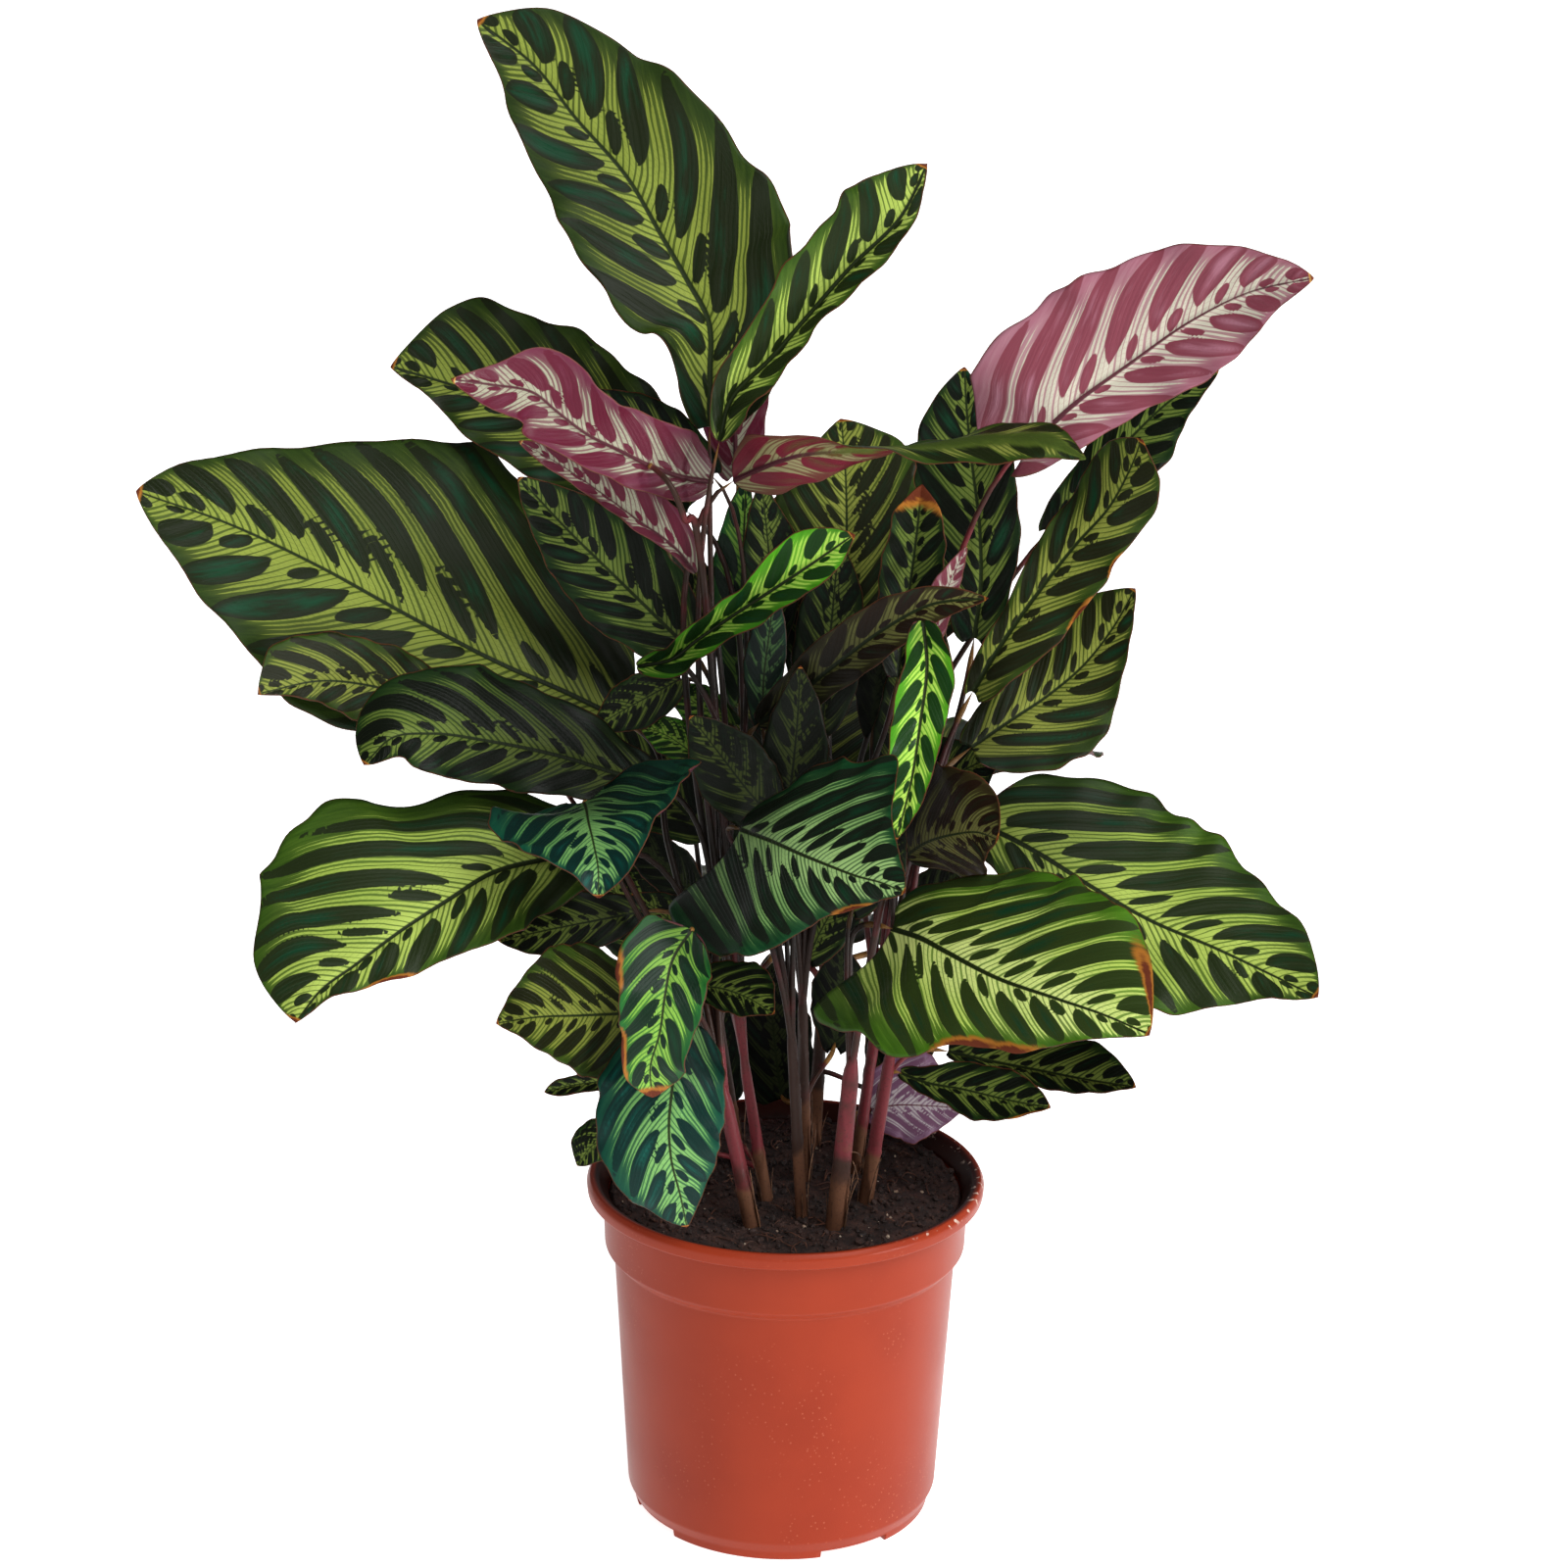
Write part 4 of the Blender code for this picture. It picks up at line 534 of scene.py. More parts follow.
def midrib_points(plan, s):
    """Points of the midrib at the shares s of its length."""
    points, reach = midrib_reach(plan)
    return np.stack([smooth(s * reach[-1], reach, points[:, k]) for k in range(3)], axis=-1)


def midrib_direction(plan, s):
    step = midrib_points(plan, np.minimum(s + 0.004, 1)) - midrib_points(plan, np.maximum(s - 0.004, 0))
    return step / np.linalg.norm(step, axis=-1, keepdims=True)


def outline(s, widest, shoulder):
    """The share of its full width that a blade has: a rounded base, a full middle and a pointed tip."""
    before = 1 - np.clip(s / widest, 0, 1)
    after = np.clip((s - widest) / (1 - widest), 0, 1)
    base = shoulder + (1 - shoulder) * np.sqrt(1 - before**2.2)
    taper = np.cos(after * math.pi / 2) ** 1.05 * (1 - 0.25 * after**6)
    blunt = (1 - after**2.4) ** 0.72
    return np.where(s < widest, base, np.maximum(BLUNTNESS * blunt + (1 - BLUNTNESS) * taper, 0.006))


def blade_form(plan, s, q):
    """Points of the blade at the shares s along its midrib and q across it, with its markings' places."""
    centre = midrib_points(plan, s)
    along = midrib_direction(plan, s)
    look = centre - VIEWPOINT
    if plan["from_above"]:
        look = np.broadcast_to([0.0, 0.0, -1.0], centre.shape)
    across = np.cross(along, look)
    across /= np.linalg.norm(across, axis=1, keepdims=True)
    toward = np.cross(along, across)
    halves = [half_blade(plan, k, s, np.abs(q), centre, along, across, toward) for k in (0, 1)]
    right = q < 0
    points = np.where(right[:, None], halves[0][0], halves[1][0])
    return points, {key: np.where(right, halves[0][1][key], halves[1][1][key]) for key in halves[0][1]}


def half_blade(plan, half, s, r, centre, along, across, toward):
    """One half of a blade at the shares r from its midrib to its edge: half 0 is the right one."""
    side = (-1, 1)[half]
    shoulder = plan["shoulders"][half]
    fit = np.array(plan["widths"][half]) / outline(STATIONS, plan["widest"], shoulder)
    width = outline(s, plan["widest"], shoulder) * smooth(s, STATIONS, fit)
    width /= np.cos(np.radians(smooth(s, [0, 0.5, 1], plan["roll"])))
    turn = 1.3 * plan["order"] + 2.4 * half
    bays = 0.03 * np.sin(math.tau * 3.4 * s + turn) + 0.016 * np.sin(math.tau * 7.9 * s + 2 * turn)
    width = width * (1 + bays * r**3)
    reach = width * (1 + centre[:, 1] / VIEW_DISTANCE)
    lift = np.radians(smooth(s, [0, 0.5, 1], plan["lifts"][half]))
    cup = math.radians(plan["cups"][half]) or 1e-6
    out = (np.sin(lift + cup * r) - np.sin(lift)) / cup * reach
    up = (np.cos(lift) - np.cos(lift + cup * r)) / cup * reach
    waves = 2.0 + 0.25 * (plan["order"] % 4)
    wave = np.sin(math.tau * waves * s + 1.7 * plan["order"] + 0.9 * half)
    ripple = plan["ripple"] * r**2.2 * wave * np.minimum(1, width / 18) * np.sqrt(np.sin(math.pi * s))
    marks = markings(plan, half, s, r, reach)
    ripple = ripple + relief(plan, half, s, r, reach, marks["vein"])
    out = out - np.sin(lift + cup * r) * ripple
    up = up + np.cos(lift + cup * r) * ripple
    near_base = np.clip(1 - s / 0.3, 0, 1) ** 1.5
    back = plan["lobes"][half] * near_base * r**2.2
    round_off = 0.35 * reach * np.clip(1 - s / 0.12, 0, 1) ** 2 * r**6
    back = back - round_off
    points = centre + side * across * out[:, None] + toward * up[:, None] - along * back[:, None]
    marks["vein"] = marks["vein"] / line_pitch(plan) + 40.0 * plan["order"]
    marks["out"] = side * marks["out"]
    return points, marks


def blade_length(plan):
    return midrib_reach(plan)[1][-1]


def line_pitch(plan):
    """The distance between the fine parallel veins."""
    return 1.8 + 1.9 * min(blade_length(plan) / 200, 1)


def relief(plan, half, s, r, reach, vein):
    """The small relief of a blade toward its upper side: quilted veins, a sunk midrib and a wavy edge."""
    size = min(blade_length(plan) / 180, 1)
    quilt = 0.30 * size * np.cos(math.tau * vein / (9.0 * size + 2)) * ease(r, 0, 0.2) * (1 - 0.6 * r)
    sunk = -0.7 * size * np.exp(-((r * reach / 1.6) ** 2))
    frill = np.sin(math.tau * (5.3 + plan["order"] % 3) * s + 2.1 * plan["order"] + 2 * half)
    frill = frill * 1.3 * size * r**4 * np.sqrt(np.clip(np.sin(math.pi * s), 0, 1))
    return plan["face"] * (quilt + sunk) * ease(s, 0, 0.05) * ease(s, 1, 0.93) + frill


def markings(plan, half, s, r, reach):
    """Where a blade's markings lie, in millimetres.

    vein runs along the midrib and stays the same along each side vein, out is the distance from the
    midrib and beside the one from its side, rim the one from the edge, share the part of the way to it,
    and blotch is above 0 inside the dark blotches.
    """
    rng = np.random.default_rng(100 * plan["order"] + half)
    length = blade_length(plan)
    vein = s * length - (1.02 * r + 0.48 * r**2) * reach
    pitch = length * (0.150 if length > 120 else 0.175) * rng.uniform(0.94, 1.06)
    phase = rng.uniform(0, 1) if half else rng.uniform(0.4, 0.6)
    blotch = np.full_like(s, -50.0)
    for k in range(-6, 9):
        middle = (k + phase + rng.uniform(-0.06, 0.06)) * pitch
        thick = pitch * rng.uniform(0.29, 0.37)
        start, end = rng.uniform(0.05, 0.13), rng.uniform(0.95, 1.2)
        blotch = np.maximum(blotch, spindle(vein - middle, r, start, end, thick, 0.45))
        middle += pitch * rng.uniform(0.46, 0.54)
        thick = pitch * rng.uniform(0.12, 0.18)
        blotch = np.maximum(blotch, spindle(vein - middle, r, 0.02, rng.uniform(0.2, 0.36), thick, 0.55))
    rim = (1 - r) * reach
    beside = r * reach - (0.4 + 0.8 * (1 - s)) * min(length / 150, 1)
    return {"vein": vein, "out": r * reach, "beside": beside, "rim": rim, "share": r, "blotch": blotch}


def spindle(off, r, start, end, thick, fullest):
    """How deep a place lies inside a blotch that lies along a side vein."""
    middle = start + (end - start) * fullest
    share = np.where(r < middle, (middle - r) / (middle - start), (r - middle) / (end - middle))
    return thick * (1 - share**2.6) - np.abs(off)


def crown_shade(points):
    """How deep each point lies in the crown, where little light reaches the leaves, from 0 to 1: the strength
    of the painted shade on blades and stalks.
    """
    x, y, z = (points / [95.0, 1.0, 115.0] - [0.0, 0.0, 335 / 115]).T
    ahead = np.maximum(-y - 30, 0) / 45
    behind = np.maximum(y - 30, 0) / 90
    return ease(np.sqrt(x**2 + z**2 + ahead**2 + behind**2), 1.1, 0.3)


def scorching(name, s, q):
    """How scorched each place of a blade is, from 0 to 1."""
    burnt = 1 - (1 - s) / 0.02
    for along, across, spread in SCORCH.get(name, ()):
        aside = 0 * q if across is None else (q - across) / (1.5 * spread)
        far = np.hypot((s - along) / spread, aside)
        burnt = np.maximum(burnt, 1 - far)
    return np.maximum(burnt, 0)


def stalk_knots(plan):
    """The ends and the passing points of a leaf's stalk, and its handles there."""
    lean = sheath_axis(plan["stem"])[1]
    start = np.array(STEMS[plan["stem"]]["top"], float) - lean * plan["below"]
    s = np.array([plan["joins"]])
    end, direction = midrib_points(plan, s)[0], midrib_direction(plan, s)[0]
    if plan["joins"] > 0:
        look = (end - VIEWPOINT) / np.linalg.norm(end - VIEWPOINT)
        end = end + look * plan["face"] * STALK_BEHIND
    else:
        end = end + direction * (ROOTED if plan["fused"] else STALK_GAP)
    knots = [start] + [world(*p) for p in plan["via"]] + [end]
    handles = [lean * plan["rise"]]
    handles += [(after - before) / 6 for before, after in zip(knots, knots[2:])]
    handles += [direction * plan["neck"]]
    return knots, handles


def stalk_line(plan):
    """The centre line of a leaf's stalk, from inside its sheath to the base of its blade."""
    knots, handles = stalk_knots(plan)
    line = [knots[0]]
    for k in range(len(knots) - 1):
        for t in np.linspace(0, 1, 17)[1:]:
            line.append((1 - t) ** 3 * knots[k] + 3 * (1 - t) ** 2 * t * (knots[k] + handles[k])
                        + 3 * (1 - t) * t**2 * (knots[k + 1] - handles[k + 1]) + t**3 * knots[k + 1])
    return np.array(line)


def sheath_axis(stem):
    """The point where a stem leaves the soil, and its direction."""
    foot = np.array([*STEMS[stem]["foot"], SOIL_TOP], float)
    lean = np.array(STEMS[stem]["top"], float) - foot
    return foot, lean / np.linalg.norm(lean)


# Making pieces
def new_piece(name, mesh, materials, stands_for=()):
    piece = bpy.data.objects.new(name, mesh)
    bpy.context.scene.collection.objects.link(piece)
    for finish in materials:
        mesh.materials.append(finish)
    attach(piece, "root")
    if stands_for:
        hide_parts(*stands_for)
    return piece


def smooth_mesh(bm, name, sharp=40):
    mesh = bpy.data.meshes.new(name)
    bm.to_mesh(mesh)
    bm.free()
    mesh.shade_smooth()
    mesh.set_sharp_from_angle(angle=math.radians(sharp))
    return mesh


def grid_places(verts):
    """The across and along shares of a new grid's vertices, each from -1 to 1."""
    places = np.array([vertex.co[:2] for vertex in verts])
    return places[:, 0], places[:, 1]


def put(verts, points):
    for vertex, point in zip(verts, points):
        vertex.co = Vector(point) * MM


def make_blade(name, plan):
    """A fine blade: a grid bent to its form, with its markings' places, a sheet's thickness and a rib."""
    rows, columns = GRIDS[plan["size"]]
    bm = bmesh.new()
    bmesh.ops.create_grid(bm, x_segments=columns, y_segments=rows, size=1)
    bm.verts.ensure_lookup_table()
    x, y = grid_places(bm.verts)
    q = np.sign(x) * np.abs(x) ** 1.2
    even = y / 2 + 0.5
    s = 0.55 * even + 0.45 * (1 - np.cos(math.pi * even)) / 2
    points, marks = blade_form(plan, s, q)
    put(bm.verts, points)
    if plan["face"] > 0:
        bmesh.ops.reverse_faces(bm, faces=bm.faces)
    mesh = smooth_mesh(bm, name, 80)
    marks["scorch"] = scorching(name, s, q)
    shaded = SHADED.get(name, 0.2)
    # Painted shade: deep in the crown, and from the base of blades that others overshadow
    marks["painted_shade"] = np.maximum(crown_shade(points), (0.35 + 0.6 * shaded) * ease(s, shaded, 0.3 * shaded))
    for key, values in marks.items():
        mesh.attributes.new(key, "FLOAT", "POINT").data.foreach_set("value", np.asarray(values, np.float32))
    inner = plan["fused"] and plan["face"] > 0
    tone = TONES.get(name, "deep" if inner else "fresh")
    seen_under = plan["face"] < 0
    upper = tone if tone in TONE_COLOURS["upper_face"] else "deep"
    lower = tone if tone in TONE_COLOURS["underside"] else "mauve" if seen_under else "plum"
    finishes = [blade_finish("upper_face", upper), blade_finish("underside", lower)]
    piece = new_piece("blade_" + name, mesh, finishes, () if plan["fused"] else ("leaf_" + name,))
    rib = piece.vertex_groups.new(name="midrib_swelling")
    strength = np.exp(-(np.abs(marks["out"]) / 0.9) ** 2) * (1 - 0.8 * s) * min(blade_length(plan) / 120, 1)
    for index in np.flatnonzero(strength > 0.01):
        rib.add([int(index)], float(strength[index]), "REPLACE")
    skin = piece.modifiers.new("thickness", "SOLIDIFY")
    skin.thickness = RIB * MM
    skin.offset = -1
    skin.vertex_group = rib.name
    skin.thickness_vertex_group = SHEET / RIB
    skin.material_offset = 1
    skin.material_offset_rim = 0
    return piece


def carried_frames(line):
    """Two directions across a line at each of its points, which turn as little as they can."""
    along = np.gradient(line, axis=0)
    along /= np.linalg.norm(along, axis=1, keepdims=True)
    first = np.cross(along[0], [1.0, 0.0, 0.0])
    aside = [first / np.linalg.norm(first)]
    for direction in along[1:]:
        turned = aside[-1] - direction * np.dot(aside[-1], direction)
        aside.append(turned / np.linalg.norm(turned))
    aside = np.array(aside)
    return aside, np.cross(along, aside)


def bar_stock():
    """An empty bmesh that keeps how dry each place of a bar is, and how far along it lies."""
    bm = bmesh.new()
    for key in BAR_VALUES:
        bm.verts.layers.float.new(key)
    return bm


def add_bar(bm, line, radius, sides, age, shift=0.0, blush=lambda t: 0 * t):
    """A closed bar along a line. radius gives its radius at (share along, turn), age its dryness."""
    made = bmesh.ops.create_grid(bm, x_segments=sides, y_segments=len(line) - 1, size=1)["verts"]
    x, y = grid_places(made)
    t = y / 2 + 0.5
    ring = np.rint(t * (len(line) - 1)).astype(int)
    turn = x * math.pi
    aside, other = carried_frames(line)
    ends = np.minimum(t, 1 - t) * (len(line) - 1)
    far = radius(t, turn) * np.where(ends < 0.5, 0.0, np.where(ends < 1.5, 0.85, 1.0))
    spoke = np.cos(turn)[:, None] * aside[ring] + np.sin(turn)[:, None] * other[ring]
    points = line[ring] + far[:, None] * spoke
    put(made, points)
    reach = np.r_[0, np.cumsum(np.linalg.norm(np.diff(line, axis=0), axis=1))]
    # Painted shade: how deep in the crown each place of a bar lies, which darkens the stalks
    painted_shade = np.minimum(1.5 * crown_shade(points), 1)
    for key, values in zip(BAR_VALUES, (age(t), reach[ring] + shift, blush(t), painted_shade)):
        layer = bm.verts.layers.float[key]
        for vertex, value in zip(made, values):
            vertex[layer] = value
    bmesh.ops.remove_doubles(bm, verts=made, dist=1e-7)


def make_stem(stem):
    """A stem: its wrapped sheath, dry toward its foot, and its leaf stalks with a swollen neck."""
    foot, lean = sheath_axis(stem)
    top = np.array(STEMS[stem]["top"], float)
    wide, narrow = STEMS[stem]["radii"]
    bm = bar_stock()
    order = ord(stem) - ord("a")
    root = foot - lean * ROOT_DEPTH
    line = np.array([root + (top - foot + lean * ROOT_DEPTH) * t for t in np.linspace(0, 1, 60)])

    def sheath_radius(t, turn):
        plain = wide + (narrow - wide) * ease(t, 0.15, 1)
        wrap = 0.45 * ease(np.mod(turn / math.tau + 0.9 * t + 0.3 * order, 1), 0.9, 1.0)
        flat = 0.09 * np.cos(2 * turn + order)
        node = 0.35 * np.exp(-(((t - 0.42 - 0.04 * (order % 3)) / 0.012) ** 2))
        return (plain * (1 + flat) + wrap + node - 0.2) * (1 - 0.4 * ease(t, 0.86, 1))

    flushed = STEMS[stem]["blush"]
    add_bar(bm, line, sheath_radius, 24, lambda t: ease(t, 0.62, 0.3), 50 * order, lambda t: flushed + 0 * t)
    for name, plan in LEAVES.items():
        if plan["stem"] != stem:
            continue
        thick = STALK_RADIUS["small"] if plan["thin"] else STALK_RADIUS[plan["size"]]
        points = stalk_line(plan)
        length = np.linalg.norm(np.diff(points, axis=0), axis=1).sum()

        def stalk_radius(t, turn):
            neck = np.exp(-((((1 - t) * length - 9) / 5.5) ** 2))
            groove = 0.1 * np.cos(turn) * (1 - neck)
            return (thick * (1 - (1 - STALK_TIP) * t)) * (1 + 0.35 * neck - groove)

        def stalk_blush(t):
            return flushed + (STALK_BLUSH.get(name, 0.25) - flushed) * ease(t * length, 8, 45)

        add_bar(bm, points, stalk_radius, 12, lambda t: -ease((1 - t) * length, 17, 12), 50 * plan["order"],
                stalk_blush)
    bmesh.ops.recalc_face_normals(bm, faces=bm.faces)
    mesh = smooth_mesh(bm, "stem_" + stem, 60)
    return new_piece("stalks_" + stem, mesh, [stalk_finish()], ("stem_" + stem,))


# Pot and soil
def turned(name, section, steps):
    """A half section of (radius, height) points that starts and ends on the axis, spun to a body."""
    bm = bmesh.new()
    points = [bm.verts.new((radius * MM, 0, height * MM)) for radius, height in section]
    edges = [bm.edges.new(ends) for ends in zip(points, points[1:])]
    bmesh.ops.spin(bm, geom=points + edges, cent=(0, 0, 0), axis=(0, 0, 1), angle=math.tau,
                   steps=steps, use_merge=True)
    bmesh.ops.remove_doubles(bm, verts=bm.verts, dist=1e-6)
    bmesh.ops.recalc_face_normals(bm, faces=bm.faces)
    return smooth_mesh(bm, name, 32)


def rounded(section, radius, steps=4):
    """The section with each inner corner rounded."""
    made = [section[0]]
    for before, corner, after in zip(section, section[1:], section[2:]):
        p, c, n = (np.array(k, float) for k in (before, corner, after))
        cut = min(radius, np.linalg.norm(p - c) * 0.45, np.linalg.norm(n - c) * 0.45)
        a = c + (p - c) / np.linalg.norm(p - c) * cut
        b = c + (n - c) / np.linalg.norm(n - c) * cut
        for t in np.linspace(0, 1, steps + 1):
            made.append(tuple((1 - t) ** 2 * a + 2 * (1 - t) * t * c + t**2 * b))
    return made + [section[-1]]


def cut_away(piece, cutters):
    group = bpy.data.collections.new(piece.name + "_cutters")
    for cutter in cutters:
        group.objects.link(cutter)
    step = piece.modifiers.new("cuts", "BOOLEAN")
    step.operation = "DIFFERENCE"
    step.operand_type = "COLLECTION"
    step.collection = group
    step.solver = "EXACT"
    mesh = bpy.data.meshes.new_from_object(piece.evaluated_get(bpy.context.evaluated_depsgraph_get()))
    piece.modifiers.clear()
    piece.data = mesh
    for cutter in cutters:
        bpy.data.objects.remove(cutter)
    bpy.data.collections.remove(group)


def pot_section():
    """The pot's half section, from the middle of its floor over the rim to the middle of its underside."""
    shoulder = COLLAR_BOTTOM - CHAMFER
    inside = [
        (0, FLOOR_TOP),
        (FOOT_OUTER - WALL, FLOOR_TOP),
        (BODY_TOP_RADIUS - WALL, shoulder),
        (COLLAR_RADIUS - WALL, COLLAR_BOTTOM),
        (COLLAR_RADIUS - WALL, LIP_BOTTOM),
        (RIM_RADIUS - RIM_WIDTH, RIM_TOP - RIM_STEP),
    ]
    outside = [
        (RIM_RADIUS - RIM_ROUND, RIM_TOP),
        (RIM_RADIUS, RIM_TOP - RIM_DROP),
        (RIM_RADIUS - LIP_UNDERCUT, LIP_BOTTOM),
        (COLLAR_RADIUS, LIP_BOTTOM - LIP_UNDERCUT),
        (COLLAR_RADIUS - COLLAR_TAPER, COLLAR_BOTTOM),
        (BODY_TOP_RADIUS, shoulder),
        (BODY_FOOT_RADIUS, FOOT_HEIGHT + BODY_TURN),
        (FOOT_OUTER, FOOT_HEIGHT),
    ]
    ring = [(FOOT_OUTER - FOOT_DRAFT, 0), (FOOT_INNER + FOOT_DRAFT, 0), (FOOT_INNER, FOOT_HEIGHT)]
    pad = [(PAD_RADIUS, FOOT_HEIGHT), (PAD_RADIUS - FOOT_DRAFT, 0), (0, 0)]
    return inside + outside + ring + pad


def cutter_at(place, size, round_one):
    """A plain block or rod that only cuts the pot."""
    bm = bmesh.new()
    if round_one:
        bmesh.ops.create_cone(bm, cap_ends=True, segments=32, radius1=size[0] * MM, radius2=size[0] * MM,
                              depth=size[2] * MM, matrix=place)
    else:
        bmesh.ops.create_cube(bm, size=1, matrix=place @ Matrix.Diagonal((*(Vector(size) * MM), 1)))
    cutter = bpy.data.objects.new("cutter", smooth_mesh(bm, "cutter"))
    bpy.context.scene.collection.objects.link(cutter)
    return cutter


def round_the_axis(count, radius, start, height):
    """Places at even angles on a circle, each turned to face out."""
    for k in range(count):
        turn = Matrix.Rotation(math.radians(start) + math.tau * k / count, 4, "Z")
        yield turn @ Matrix.Translation((radius * MM, 0, height * MM))


def make_pot():
    mesh = turned("nursery_pot", rounded(pot_section(), CORNER_ROUND), POT_STEPS)
    pot = new_piece("nursery_pot", mesh, [pot_finish()], ("pot",))
    between = FOOT_TURN + 180 / FEET
    feet = round_the_axis(FEET, (FOOT_OUTER + FOOT_INNER) / 2, between, 0)
    drains = round_the_axis(DRAINS, DRAIN_CIRCLE, 0, FLOOR_TOP / 2)
    cutters = [cutter_at(p, (RECESS_LENGTH, RECESS_WIDTH, 2 * RECESS_HEIGHT), False) for p in feet]
    cutters += [cutter_at(p, (DRAIN_RADIUS, DRAIN_RADIUS, 3 * FLOOR_TOP), True) for p in drains]
    cut_away(pot, cutters)
    return pot


def soil_height(x, y):
    """The height of the soil: a low mound toward the back, lumps and small grains."""
    far = (x - MOUND_PLACE[0]) ** 2 + (y - MOUND_PLACE[1]) ** 2
    mound = MOUND_HEIGHT * math.exp(-far / (2 * MOUND_SPREAD**2))
    lumps = SOIL_RELIEF * noise.noise(Vector((x, y, 0)) / 14)
    grains = 0.9 * noise.fractal(Vector((x, y, 3)) / 4.5, 0.7, 2.0, 4)
    return SOIL_TOP + mound + lumps + grains


def make_soil():
    shoulder = COLLAR_BOTTOM - CHAMFER
    section = [
        (0, FLOOR_TOP + SOIL_GAP),
        (FOOT_OUTER - WALL - SOIL_GAP, FLOOR_TOP + SOIL_GAP),
        (BODY_TOP_RADIUS - WALL - SOIL_GAP, shoulder),
        (COLLAR_RADIUS - WALL - SOIL_GAP, COLLAR_BOTTOM + SOIL_GAP),
        (COLLAR_RADIUS - WALL - SOIL_GAP, SOIL_EDGE),
    ]
    rings = np.linspace(COLLAR_RADIUS - WALL - SOIL_GAP - 1, 0, SOIL_RINGS)
    section += [(radius, SOIL_TOP) for radius in rings]
    mesh = turned("soil_filling", section, SOIL_STEPS)
    for vertex in mesh.vertices:
        x, y, z = vertex.co / MM
        if z > SOIL_TOP - SURFACE_SLACK:
            vertex.co.z = soil_height(x, y) * MM
    return new_piece("soil_filling", mesh, [soil_finish()], ("soil",))


def make_crumbs():
    """Crumbs of soil, and a few pale specks, pressed a little into the surface."""
    rng = np.random.default_rng(CRUMB_SEED)
    noise.seed_set(CRUMB_SEED)
    pale = mottled("pale_mineral", (196, 180, 160), (150, 124, 104), 0.85)
    for name, count, sizes, finish in (("soil_crumbs", CRUMBS, (0.6, 2.4), soil_finish()),
                                       ("pale_specks", SPECKS, (0.4, 1.1), pale)):
        bm = bmesh.new()
        for _ in range(count):
            radius = CRUMB_CIRCLE * math.sqrt(rng.uniform(0, 1))
            turn = rng.uniform(0, math.tau)
            x, y = radius * math.cos(turn), radius * math.sin(turn)
            size = rng.uniform(*sizes) * rng.uniform(0.5, 1)
            place = Matrix.Translation(Vector((x, y, soil_height(x, y) + 0.25 * size)) * MM)
            spin = Matrix.Rotation(rng.uniform(0, math.tau), 4, Vector(rng.normal(size=3)).normalized())
            squash = Matrix.Diagonal((*(rng.uniform(0.6, 1.25, 3)), 1))
            bmesh.ops.create_icosphere(bm, subdivisions=1, radius=size * MM, matrix=place @ spin @ squash)
        for vertex in bm.verts:
            vertex.co += noise.noise_vector(vertex.co / MM / 1.3) * 0.35 * MM
        new_piece(name, smooth_mesh(bm, name, 25), [finish])


def make_fibres():
    """Short root and peat fibres that lie on the soil."""
    rng = np.random.default_rng(8)
    bm = bar_stock()
    for _ in range(FIBRES):
        radius = FIBRE_CIRCLE * math.sqrt(rng.uniform(0, 1))
        turn = rng.uniform(0, math.tau)
        heading, bend = rng.uniform(0, math.tau), rng.uniform(-2, 2)
        length, lift = rng.uniform(5, 16), rng.uniform(0.3, 2.2)
        line = []
        x, y = radius * math.cos(turn), radius * math.sin(turn)
        for t in np.linspace(0, 1, 8):
            step = length / 7
            x += step * math.cos(heading + bend * t)
            y += step * math.sin(heading + bend * t)
            if math.hypot(x, y) > 73:
                break
            line.append((x, y, soil_height(x, y) + 0.4 + lift * math.sin(math.pi * t)))
        if len(line) > 4:
            thick = rng.uniform(0.16, 0.38)
            add_bar(bm, np.array(line), lambda t, turn, r=thick: r + 0 * t, 5, lambda t: 0.5 + 0 * t)
    bmesh.ops.recalc_face_normals(bm, faces=bm.faces)
    peat = mottled("peat_fibre", (96, 58, 40), (58, 34, 26), 0.8)
    new_piece("soil_fibres", smooth_mesh(bm, "soil_fibres", 60), [peat])


def make_scraps():
    """Dry strips of old sheaths: they stand round the stems' feet, and one curls over in a loop."""
    rng = np.random.default_rng(12)
    bm = bar_stock()
    loop = [(23, 131, -17), (27, 140, -16), (31, 146, -15), (33, 151, -15), (31, 155.5, -15), (27, 156, -15),
            (24, 152, -15), (22.5, 145, -15)]
    strips = [(np.array([world(*p) for p in loop]), 0.9)]
    for stem in STEMS:
        foot, lean = sheath_axis(stem)
        for _ in range(STRIPS_PER_STEM):
            turn, length, curl = rng.uniform(0, math.tau), rng.uniform(12, 34), rng.uniform(1, 6)
            out = np.array([math.cos(turn), math.sin(turn), 0.0])
            steps = np.linspace(0, 1, 8)[:, None]
            off = STEMS[stem]["radii"][0] + 0.3 + curl * steps**2.5
            line = foot + out * off + lean * (length * steps - 3)
            strips.append((line, rng.uniform(0.8, 1.7)))
    for line, wide in strips:
        at = np.linspace(0, 1, len(line))
        fine = np.stack([smooth(np.linspace(0, 1, 20), at, line[:, k]) for k in range(3)], axis=-1)

        def strip_radius(t, turn):
            flat = wide * (1 - 0.75 * t)
            return flat * 0.22 / np.hypot(0.22 * np.cos(turn), flat * np.sin(turn))

        add_bar(bm, fine, strip_radius, 10, lambda t: 0.5 + 0 * t)
    bmesh.ops.recalc_face_normals(bm, faces=bm.faces)
    dry = mottled("dry_sheath", (120, 84, 58), (62, 40, 28), 0.8)
    new_piece("dry_scraps", smooth_mesh(bm, "dry_scraps", 60), [dry])


